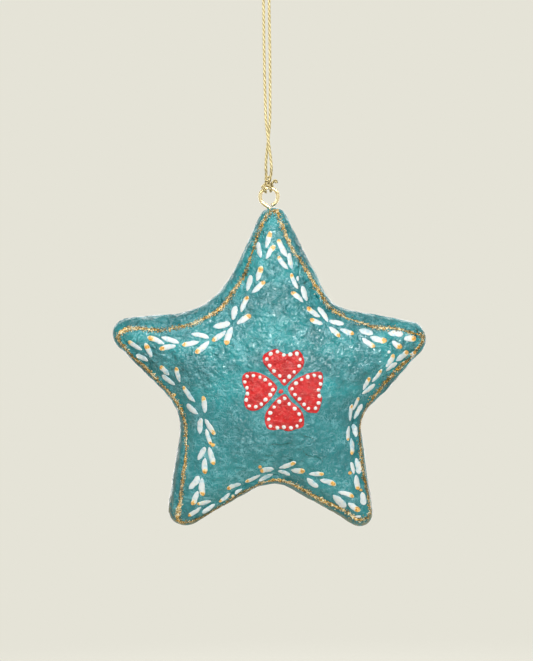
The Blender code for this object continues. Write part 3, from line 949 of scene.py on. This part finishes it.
def worn_and_shaded_strip(nodes, spot, tone, wear_and_shade):
    """The strip's tone, rubbed low down on the star, and darkened with painted shade along the joint's line,
    most of all low on the star.
    """
    axes = nodes.axes(spot)
    depth = nodes.math("ABSOLUTE", axes["Y"])
    low = nodes.times(nodes.span(axes["Z"], WEAR_AND_SHADE_TOP, WEAR_FULL), wear_and_shade)
    scuff_and_shade_mask = nodes.span(nodes.noise(spot, 0.6, 3.0, 0.7), 0.36, 0.56)
    amount = nodes.times(nodes.times(nodes.span(depth, 3.2, 5.2, 1.0, 0.0), low), scuff_and_shade_mask)
    olive = nodes.span(axes["Z"], OLIVE_TOP, OLIVE_FULL)
    tone = nodes.mix(amount, tone, nodes.mix(olive, linear(98, 134, 132), linear(140, 138, 100)))
    # Painted shade: a dark band along the rim's middle, faint high on the star and full low down, broken up
    # by scuffs
    scuff_and_shade_mask = nodes.times(scuff_and_shade_mask, nodes.span(axes["Z"], WEAR_AND_SHADE_TOP + 30.0, WEAR_AND_SHADE_TOP, 0.25, 1.0))
    amount = nodes.times(nodes.span(depth, 1.2, 2.8, 1.0, 0.0), scuff_and_shade_mask)
    return nodes.mix(nodes.times(amount, wear_and_shade), tone, linear(40, 62, 60))


def pulp_material(name, deep, middle, pale, coat, wear_and_shade=0.0):
    """Painted and lacquered pulp: fibres pressed flat, pale on their crests as partly worn paint and partly
    painted highlight, painted shade low on the star, a glossy coat.
    """
    nodes = Finish(name)
    spot = nodes.skin_spot()
    normal, lit_crest = wrinkles(nodes, spot)
    broad = nodes.noise(spot, 0.09, 3.0, 0.55)
    patch = nodes.noise(spot, 0.28, 3.0, 0.6)
    brushed = nodes.noise(nodes.mapping(spot, (1.0, 1.0, 2.2), (0.0, 0.7, 0.0)), 0.35, 3.0, 0.6)
    # Painted shade: the broad tone is pulled towards the deep teal low on the star
    shade = nodes.span(nodes.axes(spot)["Z"], SHADE_TOP, SHADE_FULL, 1.0, 0.45)
    tone = nodes.mix(nodes.times(nodes.span(broad, 0.32, 0.68), shade), deep, middle)
    tone = nodes.mix(nodes.times(nodes.span(brushed, 0.52, 0.7), 0.22), tone, pale)
    # Partly worn paint and partly painted highlight: pale on the wrinkles' crests, in patches
    tone = nodes.mix(nodes.times(lit_crest, nodes.span(patch, 0.42, 0.68, 0.04, 0.4)), tone, pale)
    if wear_and_shade:
        tone = worn_and_shaded_strip(nodes, spot, tone, wear_and_shade)
    return nodes.plug(
        Base_Color=tone, Roughness=nodes.span(patch, 0.35, 0.65, 0.3, 0.42), Normal=normal,
        Specular_IOR_Level=0.0, Coat_Weight=coat, Coat_Roughness=0.08, Coat_IOR=1.75, Coat_Normal=normal,
    )


# Paint: places are read from the photograph, in its pixels

# White leaves: the plain end, the gilded end, the width, and the share of the length that is gilded
LEAVES = (
    (261, 258, 258, 242, 5.0, 0.0), (266, 248, 271, 231, 4.8, 0.5), (266, 259, 275, 245, 4.7, 0.4),
    (257, 281, 262, 266, 5.4, 0.55), (247, 291, 251, 275, 5.0, 0.0), (252, 293, 265, 281, 5.0, 0.3),
    (241, 312, 248, 296, 5.0, 0.25), (233, 320, 236, 306, 5.5, 0.0), (237, 324, 251, 315, 5.5, 0.3),
    (213, 327, 230, 323, 6.0, 0.0), (226, 331, 212, 341, 5.0, 0.25), (232, 327, 226, 345, 6.4, 0.25),
    (209, 341, 195, 353, 5.5, 0.3), (191, 334, 209, 338, 4.7, 0.0), (199, 342, 182, 345, 5.0, 0.3),
    (161, 337, 179, 343, 4.8, 0.0), (176, 346, 159, 349, 5.0, 0.4), (164, 344, 147, 337, 5.0, 0.5),
    (152, 357, 145, 343, 4.8, 0.6), (142, 350, 128, 341, 4.2, 0.25), (148, 361, 136, 355, 4.4, 0.0),
    (169, 375, 160, 366, 4.6, 0.3), (180, 382, 176, 367, 4.3, 0.3), (175, 385, 162, 375, 4.3, 0.0),
    (195, 402, 183, 386, 4.4, 0.2), (205, 413, 203, 396, 5.0, 0.3), (198, 414, 187, 404, 5.0, 0.0),
    (200, 434, 201, 418, 5.0, 0.0), (205, 419, 215, 435, 4.8, 0.35), (206, 429, 211, 445, 4.2, 0.25),
    (198, 460, 205, 447, 5.0, 0.0), (209, 447, 214, 465, 5.3, 0.2), (205, 458, 205, 474, 5.4, 0.3),
    (189, 489, 199, 476, 6.0, 0.0), (202, 478, 203, 496, 5.8, 0.25), (198, 491, 192, 505, 5.2, 0.25),
    (211, 501, 197, 504, 3.8, 0.15), (201, 507, 188, 516, 4.0, 0.2), (215, 504, 202, 513, 4.2, 0.0),
    (230, 493, 219, 502, 3.6, 0.25), (241, 484, 227, 489, 4.2, 0.25), (242, 489, 235, 494, 3.2, 0.0),
    (260, 475, 245, 482, 3.3, 0.3), (273, 474, 259, 481, 3.8, 0.0), (274, 469, 260, 471, 4.8, 0.25),
    (278, 471, 290, 475, 3.7, 0.0), (279, 468, 296, 462, 4.2, 0.4), (291, 470, 305, 471, 5.0, 0.4),
    (309, 474, 324, 474, 4.2, 0.35), (307, 478, 318, 487, 5.2, 0.0), (320, 480, 336, 485, 5.0, 0.4),
    (338, 492, 354, 497, 4.5, 0.35), (333, 495, 346, 507, 6.8, 0.0), (348, 503, 360, 511, 5.4, 0.45),
    (356, 458, 359, 474, 5.7, 0.0), (354, 474, 351, 462, 3.5, 0.0), (356, 475, 358, 490, 5.0, 0.2),
    (362, 492, 364, 505, 5.7, 0.0), (351, 438, 352, 455, 3.9, 0.3), (349, 426, 348, 441, 3.3, 0.2),
    (356, 437, 353, 424, 4.8, 0.0), (354, 419, 362, 404, 4.0, 0.0), (350, 421, 352, 404, 3.4, 0.35),
    (353, 410, 359, 397, 3.0, 0.3), (362, 394, 375, 384, 3.8, 0.0), (363, 390, 370, 377, 4.0, 0.35),
    (372, 382, 382, 369, 3.4, 0.4), (386, 371, 397, 363, 4.0, 0.0), (386, 367, 394, 354, 4.5, 0.3),
    (396, 361, 408, 351, 5.4, 0.25), (411, 359, 416, 351, 3.8, 0.35), (404, 339, 416, 339, 6.4, 0.25),
    (392, 341, 402, 348, 5.4, 0.4), (388, 333, 403, 334, 6.0, 0.0), (370, 337, 387, 341, 6.0, 0.3),
    (362, 338, 375, 347, 5.0, 0.25), (359, 330, 373, 334, 5.7, 0.0), (340, 329, 354, 334, 4.8, 0.25),
    (329, 327, 340, 337, 4.8, 0.25), (329, 321, 344, 324, 4.8, 0.0), (323, 324, 310, 319, 5.0, 0.3),
    (328, 322, 318, 307, 4.5, 0.0), (320, 317, 307, 307, 5.0, 0.3), (303, 302, 291, 292, 4.8, 0.25),
    (307, 301, 302, 286, 5.0, 0.0), (298, 281, 298, 276, 2.7, 0.0), (298, 289, 291, 273, 4.0, 0.35),
    (292, 269, 289, 253, 5.0, 0.0), (288, 269, 278, 256, 4.7, 0.15), (287, 257, 278, 239, 5.7, 0.15),
    (354, 516, 361, 516, 2.2, 0.0),
)

# Gold line, clockwise from the top: place, and how thickly it is laid
GOLD_LINE = (
    (277, 211, 0.7), (279, 218, 0.4), (284, 229, 0.6), (288, 240, 1.0), (292, 249, 0.7), (298, 257, 0.5),
    (304, 267, 0.5), (313, 282, 0.7), (319, 291, 1.0), (324, 299, 0.6), (328, 305, 0.4), (333, 310, 0.4),
    (339, 314, 0.6), (347, 318, 0.5), (362, 323, 0.4), (377, 328, 0.6), (394, 328, 0.4), (408, 332, 0.4),
    (421, 335, 0.5), (424, 338, 0.3), (417, 349, 0.4), (411, 357, 0.6), (399, 368, 0.4), (391, 376, 0.5),
    (381, 388, 0.3), (371, 401, 0.3), (364, 412, 0.3), (360, 426, 0.5), (360, 442, 0.4), (362, 462, 0.3),
    (364, 478, 0.4), (367, 490, 0.3), (369, 503, 0.3), (370, 512, 0.3), (365, 520, 0.2), (356, 519, 0.4),
    (349, 513, 0.5), (335, 506, 0.5), (322, 500, 0.9), (312, 495, 0.7), (300, 488, 0.5), (287, 482, 0.6),
    (275, 480, 1.0), (262, 483, 0.5), (248, 490, 0.3), (234, 497, 0.25), (223, 505, 0.15), (209, 513, 0.15),
    (193, 521, 0.2), (179, 522, 0.5), (178, 514, 0.9), (180, 506, 0.9), (182, 487, 0.5), (184, 470, 0.9),
    (186, 452, 0.7), (186, 428, 0.5), (181, 410, 0.5), (172, 396, 0.9), (161, 384, 0.5), (146, 368, 0.6),
    (132, 356, 0.5), (121, 343, 0.5), (117, 337, 0.5), (123, 331, 1.0), (136, 328, 0.7), (155, 330, 0.5),
    (174, 328, 0.4), (192, 324, 0.5), (211, 315, 0.7), (222, 307, 1.0), (234, 290, 0.9), (244, 276, 0.4),
    (251, 256, 0.3), (257, 238, 0.4), (262, 224, 0.5), (270, 212, 0.4),
)

# Red petals: points round each heart from its tip
PETALS = (
    ((284, 386), (278, 379), (272, 374), (267, 368), (263, 362), (263, 356), (266, 353), (272, 350),
     (277, 349), (281, 352), (286, 354), (291, 353), (294, 351), (298, 350), (302, 354), (304, 359),
     (304, 364), (301, 370), (295, 376), (290, 381)),
    ((277, 389), (276, 385), (269, 378), (262, 374), (255, 372), (248, 372), (243, 375), (242, 381),
     (244, 387), (246, 391), (245, 396), (244, 401), (246, 408), (252, 411), (258, 410), (263, 407),
     (269, 401), (274, 395)),
    ((288, 388), (291, 383), (296, 379), (302, 376), (309, 373), (315, 372), (321, 372), (323, 376),
     (323, 382), (322, 387), (320, 392), (322, 398), (321, 404), (318, 412), (313, 413), (307, 412),
     (301, 406), (295, 400), (290, 394)),
    ((285, 394), (279, 397), (274, 402), (269, 408), (265, 415), (265, 422), (267, 428), (271, 430),
     (276, 430), (281, 429), (286, 431), (291, 431), (296, 429), (301, 428), (304, 425), (304, 418),
     (302, 412), (298, 407), (292, 402), (288, 397)),
)
# How many dots each petal has, and their share of the way from its middle to its edge
PETAL_DOTS = (14, 15, 15, 14)
PETAL_DOT_RING = 0.8
DOT_WIDTH = 3.9
# Place and width of the red drop between the petals
HEART_DROP = (281.0, 391.5, 4.6)

# Round drops beside the leaves: place, width and whether gilded
DROPS = (
    (350, 473, 3.6, 1.0), (361, 490, 2.8, 1.0), (213, 445, 4.0, 1.0), (260, 467, 3.4, 1.0),
    (233, 496, 3.0, 0.6), (389, 352, 3.2, 0.0), (356, 519, 3.0, 1.0),
)

# Thick drops of the gold line: place and width
GOLD_DROPS = (
    (121, 332, 4.5), (125, 330, 5.5), (277, 211, 4.0), (174, 395, 3.6), (218, 310, 4.2),
    (318, 290, 4.0), (289, 241, 4.4), (179, 507, 4.4), (273, 480, 3.6), (321, 499, 4.0),
    (185, 466, 3.8),
)

# Where the gold line is mostly pale grains, painted highlight for the glitter's glints, and where it is thin
# and olive brown: place and reach
PALE_GLINT_STRETCHES = ((281, 224, 9), (201, 319, 14), (297, 257, 8), (178, 510, 8), (350, 512, 8))
OLIVE_STRETCHES = (
    (256, 238, 14), (250, 262, 16), (411, 357, 14), (385, 384, 16),
    (365, 480, 16), (361, 440, 16), (230, 499, 18), (203, 516, 12),
)

# Creases in the pulp under the flower, drawn as dark daubs of painted shade
CREASES = (
    ((268, 446), (274, 444), (282, 445), (288, 443), (293, 444), (296, 447)),
    ((302, 449), (304, 452), (307, 455), (311, 456), (316, 457), (320, 458), (323, 462)),
    ((300, 433), (304, 436), (309, 437), (314, 439)),
    ((265, 455), (269, 456), (273, 455)),
    ((287, 459), (291, 460), (297, 460)),
)

# How far paint stands over the skin, and how far its underside lies in it
LEAF_HEIGHT = 0.13 * MM
PETAL_HEIGHT = 0.08 * MM
DOT_HEIGHT = 0.32 * MM
GOLD_HEIGHT = 0.1 * MM
CREASE_HEIGHT = 0.02 * MM
PAINT_SINK = 0.06 * MM

# Widths in metres, or in pixels for the creases and for how far places and ends stray
GOLD_WIDTH = 1.35 * MM
CREASE_WIDTH = 1.3
CREASE_STEP = 0.8
LEAF_STRAY = 0.9
DOT_STRAY = 0.35

# How finely daubs are made
STROKE_ROWS = 13
STROKE_SIDES = 12
DOT_SIDES = 14
DOME_STEPS = 5
PETAL_STEPS = 3
GOLD_STEP = 0.3 * MM
GOLD_STEPS = 8
GOLD_SIDES = 8
GOLD_SMOOTHING = 15
CREASE_SIDES = 6
# Chips of glitter at each step of the gold line, and their corners
GRAINS = 10
GRAIN_CORNERS = 4

# Seed of the hand's unevenness, and the step in pixels from beside the star towards its middle
PAINT_SEED = 40
CAST_STEP = 0.5


class Easel:
    """Finds places on the painted skins under the photograph's pixels, in front or behind."""

    def __init__(self, skins, side):
        points = []
        faces = []
        for skin in skins:
            first = len(points)
            points += [vertex.co.copy() for vertex in skin.data.vertices]
            faces += [[first + corner for corner in face.vertices] for face in skin.data.polygons]
        self.tree = BVHTree.FromPolygons(points, faces)
        self.side = side
        self.random = random.Random(PAINT_SEED + side)

    def ray(self, x, y):
        """Start and direction of a pixel's ray, mirrored for the back."""
        right, up, back, place = camera_axes()
        target = place - back * CAMERA_DISTANCE
        target += right * ((x - PHOTO_SIZE[0] / 2) / PHOTO_SCALE)
        target -= up * ((y - PHOTO_SIZE[1] / 2) / PHOTO_SCALE)
        flip = Vector((1.0, -self.side, 1.0))
        return place * flip, (target - place) * flip

    def cast(self, x, y):
        """Skin point and normal under a pixel. Off the star, the nearest ones towards its middle."""
        pixel = Vector((x, y))
        while True:
            hit, normal, _, _ = self.tree.ray_cast(*self.ray(*pixel))
            if hit:
                return hit, normal
            pixel += (Vector(STAR_PIXEL) - pixel).normalized() * CAST_STEP

    def nearest(self, point):
        """Nearest skin point and its normal."""
        return self.tree.find_nearest(point)[:2]

    def jitter(self, amount):
        """Small offset of a stroke behind, so that the back isn't a copy of the front."""
        if self.side < 0:
            return 0.0
        return self.random.uniform(-amount, amount)


def domed(turn, height, sink=PAINT_SINK):
    """Rise of a daub over the skin, part way round its section."""
    rise = math.sin(turn)
    return rise * (height if rise > 0 else sink)


class Daubs:
    """One mesh of many daubs, with the share of gold and of thick paint at each point."""

    def __init__(self, easel):
        self.easel = easel
        self.points = []
        self.faces = []
        self.gild = []
        self.thick = []

    def put(self, place, normal, rise, gild=0.0, thick=1.0):
        """Add a point over or under the skin."""
        self.points.append(place + normal * rise)
        self.gild.append(gild)
        self.thick.append(thick)

    def stroke(self, start, end, width, gilded, bend):
        """A brush stroke with a domed back, blunt at its gilded end and pointed at the other."""
        first = len(self.points)
        start = Vector(start)
        along = Vector(end) - start
        beside = Vector((-along.y, along.x)).normalized()
        blot = start + along * (1.0 - 0.45 * gilded) + beside * bend * gilded
        reach = (0.62 + 0.5 * gilded) * width
        for row in range(STROKE_ROWS):
            share = 0.5 - 0.5 * math.cos(math.pi * (0.06 + 0.88 * row / (STROKE_ROWS - 1)))
            blunt = 2.2 + 1.6 * share
            half = 0.57 * width * (1 - abs(2 * share - 1) ** blunt) ** 0.62 * (0.84 + 0.16 * share)
            middle = start + along * share + beside * bend * 4 * share * (1 - share)
            for turn in turns(STROKE_SIDES):
                uneven = noise.noise(Vector((middle.x / 3.1, middle.y / 3.1, 2.0 * math.cos(turn))))
                spot = middle + beside * half * (1.0 + 0.3 * uneven) * math.cos(turn)
                gold = 1.0 - smooth_step(0.25, 1.0, (spot - blot).length / reach) if gilded else 0.0
                thick = max(math.sin(turn), 0.0) * (0.7 + 0.3 * share)
                self.put(*self.easel.cast(*spot), domed(turn, LEAF_HEIGHT), gold, thick)
        self.faces += grid_faces(STROKE_ROWS, STROKE_SIDES, first)
        for at, row in ((start, 0), (start + along, STROKE_ROWS - 1)):
            self.put(*self.easel.cast(*at), 0.0, 0.3 if gilded and row else 0.0)
            base = first + row * STROKE_SIDES
            self.faces += fan(len(self.points) - 1, base, STROKE_SIDES, row == 0)

    def patch(self, rim, centre, profile, gild=0.0):
        """A daub inside a rim. The profile pairs each ring's share of the rim with its rise."""
        first = len(self.points)
        count = len(rim)
        behind = self.easel.side > 0
        centre = Vector(centre)
        for share, rise in profile:
            for corner in rim:
                spot = centre + (Vector(corner) - centre) * share
                self.put(*self.easel.cast(*spot), rise, gild)
        self.faces += grid_faces(len(profile), count, first, flip=behind)
        for row in (0, len(profile) - 1):
            self.put(*self.easel.cast(*centre), profile[row][1], gild)
            self.faces += fan(len(self.points) - 1, first + row * count, count, (row == 0) != behind)

    def dot(self, x, y, width, wobble, share=1.0, gild=0.0):
        """A domed drop, a little out of round, with a share of a white dot's height."""
        rim = []
        for turn in turns(DOT_SIDES):
            radius = width / 2 * (1 + 0.06 * math.cos(2 * turn + wobble) + 0.04 * math.cos(3 * turn - wobble))
            rim.append((x + radius * math.cos(turn), y + radius * math.sin(turn)))
        profile = [(0.6, -PAINT_SINK), (0.97, -PAINT_SINK)]
        for step in range(DOME_STEPS):
            turn = math.pi / 2 * step / DOME_STEPS
            profile.append((math.cos(turn), PETAL_HEIGHT * 0.5 + DOT_HEIGHT * share * math.sin(turn)))
        self.patch(rim, (x, y), profile, gild)

    def chip(self, place, normal, along, size, spin, tone):
        """A flat chip of glitter, tilted a little, half sunk in the paint."""
        first = len(self.points)
        across = normal.cross(along).normalized()
        for turn in turns(GRAIN_CORNERS):
            lean = math.cos(spin + turn)
            flat = (along * lean + across * math.sin(spin + turn)) * size
            self.put(place + flat, normal, (0.09 + 0.05 * lean) * MM, tone)
        for rise in (0.16 * MM, 0.0):
            self.put(place, normal, rise, tone)
            self.faces += fan(len(self.points) - 1, first, GRAIN_CORNERS, rise == 0.0)

    def make(self, name, material):
        """Make the mesh object, which rides on the star."""
        obj = add_mesh(name, self.points, self.faces, material, {"gild": self.gild, "thick": self.thick})
        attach(obj, "star")


def paint_leaves(easel, name, material):
    """The border of white leaves."""
    daubs = Daubs(easel)
    for *ends, width, gilded in LEAVES:
        bend = easel.random.uniform(-LEAF_STRAY, LEAF_STRAY)
        ends = [value + easel.jitter(LEAF_STRAY) for value in ends]
        daubs.stroke(ends[:2], ends[2:], width, gilded, bend)
    for x, y, width, gilded in DROPS:
        daubs.dot(x, y, width, 0.5, 0.5, gilded)
    daubs.make(name, material)


# Petal: each ring's share of the way to the rim, and its height from under the skin to the top
PETAL_PROFILE = (
    (0.7, -PAINT_SINK), (0.99, -PAINT_SINK), (1.0, 0.0), (0.985, 0.6 * PETAL_HEIGHT),
    *((share, PETAL_HEIGHT) for share in (0.95, 0.85, 0.7, 0.52, 0.34, 0.16)),
)


def paint_flower(easel, red_name, dot_name, red, white):
    """Four red hearts with a row of raised white dots along the edge of each."""
    hearts = Daubs(easel)
    dots = Daubs(easel)
    for petal, number in zip(PETALS, PETAL_DOTS):
        rim = closed_curve(petal, PETAL_STEPS)
        centre = rim.mean(axis=0)
        hearts.patch(rim, centre, PETAL_PROFILE)
        ring = centre + (rim - centre) * PETAL_DOT_RING
        ring = np.vstack([ring, ring[:1]])
        lengths = length_along(ring)
        for i in range(number):
            spot = read_off(lengths[-1] * i / number, lengths, ring)
            x, y = (value + easel.random.uniform(-DOT_STRAY, DOT_STRAY) for value in spot)
            width = DOT_WIDTH * easel.random.uniform(0.85, 1.12)
            dots.dot(x, y, width, easel.random.uniform(0.0, math.tau))
    hearts.dot(*HEART_DROP, 1.0, 0.45)
    hearts.make(red_name, red)
    dots.make(dot_name, white)


def closeness(x, y, places):
    """How near a pixel is to the nearest of some places, from 0 at its reach and beyond to 1."""
    return max(math.exp(-((x - at_x) ** 2 + (y - at_y) ** 2) / reach ** 2) for at_x, at_y, reach in places)


def gold_route(easel):
    """Even places along the gold line on the skin, their normals, its thickness there and its tone."""
    rows = []
    for x, y, weight in closed_curve(GOLD_LINE, GOLD_STEPS):
        tone = 0.3 + 0.15 * weight
        # Painted highlight: the line grows paler where the glitter glints
        tone += 0.25 * closeness(x, y, PALE_GLINT_STRETCHES) - 0.3 * closeness(x, y, OLIVE_STRETCHES)
        rows.append((*easel.cast(x, y)[0], weight, tone))
    rows = np.array(rows + rows[:1])
    lengths = length_along(rows[:, :3])
    count = round(lengths[-1] / GOLD_STEP)
    even = read_off(np.arange(count) * lengths[-1] / count, lengths, rows)
    kernel = np.hanning(GOLD_SMOOTHING)
    kernel = kernel / kernel.sum()
    edge = GOLD_SMOOTHING // 2
    padded = np.vstack([even[-edge:], even, even[:edge]])
    smooth = np.array([np.convolve(padded[:, axis], kernel, "valid") for axis in range(3)]).T
    places, normals = zip(*(easel.nearest(Vector(point)) for point in smooth))
    return places, normals, even[:, 3], even[:, 4]


def paint_gold(easel, line_name, grain_name, material):
    """The gold line: an uneven ribbon with thick drops, and grains of glitter along it."""
    places, normals, weights, tones = gold_route(easel)
    line = Daubs(easel)
    grains = Daubs(easel)
    rng = easel.random
    for i, (place, weight) in enumerate(zip(places, weights)):
        along = (places[(i + 1) % len(places)] - places[i - 1]).normalized()
        beside = normals[i].cross(along).normalized()
        uneven = 0.8 + 0.7 * noise.noise(place / (1.3 * MM)) + 0.5 * noise.noise(place / (0.5 * MM))
        half = GOLD_WIDTH * 0.43 * max(uneven, 0.2) * (0.3 + 0.75 * weight)
        lift = GOLD_HEIGHT * min(max(4.0 * (uneven * (0.5 + weight) - 0.5), -0.8), 1.0)
        sway = 0.25 * MM * noise.noise(place / (2.5 * MM))
        tone = tones[i] + 0.5 * noise.noise(place / (1.8 * MM))
        for turn in turns(GOLD_SIDES):
            spot = place + beside * (half * math.cos(turn) + sway)
            line.put(*easel.nearest(spot), domed(turn, lift, 2 * PAINT_SINK), tone)
        for _ in range(GRAINS):
            offset = rng.gauss(0.0, 0.4) * GOLD_WIDTH
            size = rng.uniform(0.1, 0.26) * MM
            spin = rng.uniform(0.0, math.tau)
            keep = rng.random() < 0.35 + 0.6 * weight
            fleck = tone + rng.uniform(-0.5, 0.6)
            if keep:
                grains.chip(*easel.nearest(place + beside * offset), along, size, spin, fleck)
    line.faces = grid_faces(len(places), GOLD_SIDES, wrap_rows=True)
    for x, y, width in GOLD_DROPS:
        line.dot(x, y, width, 0.3 * width, 0.5, 0.38)
    line.make(line_name, material)
    grains.make(grain_name, material)


def paint_crease_shade(easel, name, material):
    """Painted shade: dark daubs along the creases under the flower."""
    daubs = Daubs(easel)
    for number, crease in enumerate(CREASES):
        first = len(daubs.points)
        knots = smooth_route([(x, y, 0.0) for x, y in crease], CREASE_STEP)[:, :2]
        along = np.gradient(knots, axis=0)
        along /= np.linalg.norm(along, axis=1)[:, None]
        for row, (spot, way) in enumerate(zip(knots, along)):
            share = row / (len(knots) - 1)
            uneven = 1.0 + noise.noise(Vector((spot[0] / 2.3, spot[1] / 2.3, number)))
            half = CREASE_WIDTH / 2 * uneven * (0.12 + 0.88 * math.sin(math.pi * share) ** 0.6)
            for turn in turns(CREASE_SIDES):
                pixel = spot + np.array([-way[1], way[0]]) * half * math.cos(turn)
                daubs.put(*easel.cast(*pixel), domed(turn, CREASE_HEIGHT))
        daubs.faces += grid_faces(len(knots), CREASE_SIDES, first)
        end = len(daubs.points)
        daubs.faces.append(tuple(range(first, first + CREASE_SIDES))[::-1])
        daubs.faces.append(tuple(range(end - CREASE_SIDES, end)))
    daubs.make(name, material)


def leaf_material():
    """White brush paint, bluish where it is thin, with orange gold over the gilded ends."""
    nodes = Finish("white leaf paint")
    spot = nodes.skin_spot()
    thin = nodes.math("SUBTRACT", nodes.noise(spot, 0.8, 3.0, 0.6), nodes.times(nodes.kept("thick"), 0.2))
    tone = nodes.mix(nodes.span(thin, 0.34, 0.56), linear(214, 221, 221), linear(158, 198, 210))
    blot = nodes.math("SUBTRACT", nodes.noise(spot, 1.6, 3.0, 0.6), 0.53)
    edge = nodes.plus(nodes.kept("gild"), nodes.times(blot, 2.5))
    tone = nodes.mix(nodes.times(nodes.span(edge, 0.1, 0.45), 0.85), tone, linear(244, 224, 170))
    speck = nodes.noise(spot, 3.2, 2.0, 0.6)
    orange = nodes.mix(nodes.span(speck, 0.42, 0.58), linear(176, 106, 16), linear(240, 190, 92))
    tone = nodes.mix(nodes.span(edge, 0.42, 0.75), tone, orange)
    lines = nodes.noise(nodes.mapping(spot, (2.5, 1.0, 1.0), (0.0, 0.6, 0.0)), 1.6, 3.0, 0.6)
    return nodes.plug(
        Base_Color=tone, Roughness=nodes.span(lines, 0.3, 0.7, 0.38, 0.55),
        Normal=nodes.bump(lines, 0.12 * MM, 0.5), Coat_Weight=0.25, Coat_Roughness=0.25,
    )


def dot_material():
    """Thick white drops, smooth and a little glossy."""
    nodes = Finish("white drop paint")
    mottle = nodes.noise(nodes.skin_spot(), 1.2, 2.0)
    tone = nodes.mix(nodes.span(mottle, 0.5, 0.75), linear(228, 231, 227), linear(210, 218, 215))
    return nodes.plug(
        Base_Color=tone, Roughness=nodes.span(mottle, 0.3, 0.7, 0.3, 0.42),
        Normal=nodes.bump(mottle, 0.05 * MM, 0.4),
    )


def heart_material():
    """Red brush paint over the wrinkled pulp, with paler brush strokes that are partly painted highlight,
    under a glossy coat.
    """
    nodes = Finish("red petal paint")
    spot = nodes.skin_spot()
    normal, lit_crest = wrinkles(nodes, spot)
    brush_marks_and_glints = nodes.noise(nodes.mapping(spot, (0.6, 1.0, 2.4), (0.0, 0.25, 0.0)), 1.1, 2.0, 0.62, 0.5)
    patch = nodes.noise(spot, 0.5)
    tone = nodes.mix(nodes.span(patch, 0.35, 0.65), linear(178, 2, 10), linear(208, 10, 16))
    # Partly brush strokes and partly painted highlight: pale pink streaks along them
    tone = nodes.mix(nodes.times(nodes.span(brush_marks_and_glints, 0.59, 0.65), 0.42), tone, linear(240, 130, 112))
    # Partly worn paint and partly painted highlight: faint pale pink on the wrinkles' crests
    tone = nodes.mix(nodes.times(lit_crest, 0.05), tone, linear(246, 150, 140))
    normal = nodes.bump(brush_marks_and_glints, 0.2 * MM, 1.0, normal)
    return nodes.plug(
        Base_Color=tone, Roughness=nodes.span(patch, 0.35, 0.65, 0.35, 0.45), Normal=normal,
        Specular_IOR_Level=0.0, Coat_Weight=0.8, Coat_Roughness=0.08, Coat_IOR=1.5, Coat_Normal=normal,
    )


def gold_material():
    """Gold glitter paint: grains from brown through orange gold to pale, the pale being painted highlight for
    the glitter's glints.
    """
    nodes = Finish("gold glitter paint")
    cells = nodes.add("ShaderNodeTexVoronoi", {"Vector": nodes.skin_spot(), "Scale": 3.4}).outputs
    pick = nodes.add("ShaderNodeSeparateColor", {0: cells["Color"]}).outputs
    stray = nodes.times(nodes.math("SUBTRACT", pick["Red"], 0.5), 1.3)
    lean = nodes.plus(nodes.kept("gild"), stray)
    tone = nodes.mix(nodes.span(lean, 0.05, 0.45), linear(92, 78, 28), linear(224, 168, 40))
    # Painted highlight: the palest grains stand in for glints
    tone = nodes.mix(nodes.span(lean, 0.6, 0.85), tone, linear(252, 244, 208))
    return nodes.plug(
        Base_Color=tone, Metallic=0.25, Roughness=nodes.span(pick["Blue"], 0.0, 1.0, 0.25, 0.6),
        Normal=nodes.bump(cells["Distance"], 0.25 * MM, 0.7),
    )


def crease_shade_material():
    """Dark teal for the painted shade in the creases."""
    nodes = Finish("painted crease shade")
    mottle = nodes.noise(nodes.skin_spot(), 1.4, 2.0)
    tone = nodes.mix(nodes.span(mottle, 0.4, 0.6), linear(24, 84, 82), linear(36, 112, 110))
    roughness = nodes.span(mottle, 0.3, 0.7, 0.5, 0.7)
    return nodes.plug(Base_Color=tone, Roughness=roughness, Specular_IOR_Level=0.2)


def paint_side(skins, side, word, paints):
    """All the paint on one side of the star."""
    easel = Easel(skins, side)
    leaf, red, white, gilt, dark = paints
    paint_leaves(easel, "leaf_paint_" + word, leaf)
    paint_flower(easel, "petal_paint_" + word, "dot_paint_" + word, red, white)
    paint_gold(easel, "gold_line_" + word, "gold_grains_" + word, gilt)
    if side < 0:
        paint_crease_shade(easel, "crease_shade_daubs_" + word, dark)


bpy.context.scene.view_settings.view_transform = "Standard"
make_camera()
make_world()
make_lights()
make_floor()
gold = gold_cord_material()
make_loop(gold)
make_knot(gold)
make_hitch(gold)
make_necks(gold)
make_eye()
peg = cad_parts["tip_plug"].data.materials
peg.clear()
peg.append(peg_material())
pulp = pulp_material(
    "lacquered teal pulp", linear(3, 108, 113), linear(11, 146, 150), linear(144, 212, 220), 0.75
)
taped = pulp_material(
    "painted teal strip", linear(3, 102, 107), linear(12, 132, 136), linear(124, 196, 204), 0.5, 0.85
)
front = make_shell("front_skin", -1, "front_shell", pulp)
back = make_shell("back_skin", 1, "back_shell", pulp)
strip = make_strip(taped)
paints = (leaf_material(), heart_material(), dot_material(), gold_material(), crease_shade_material())
paint_side((front, strip), -1, "front", paints)
paint_side((back, strip), 1, "back", paints)
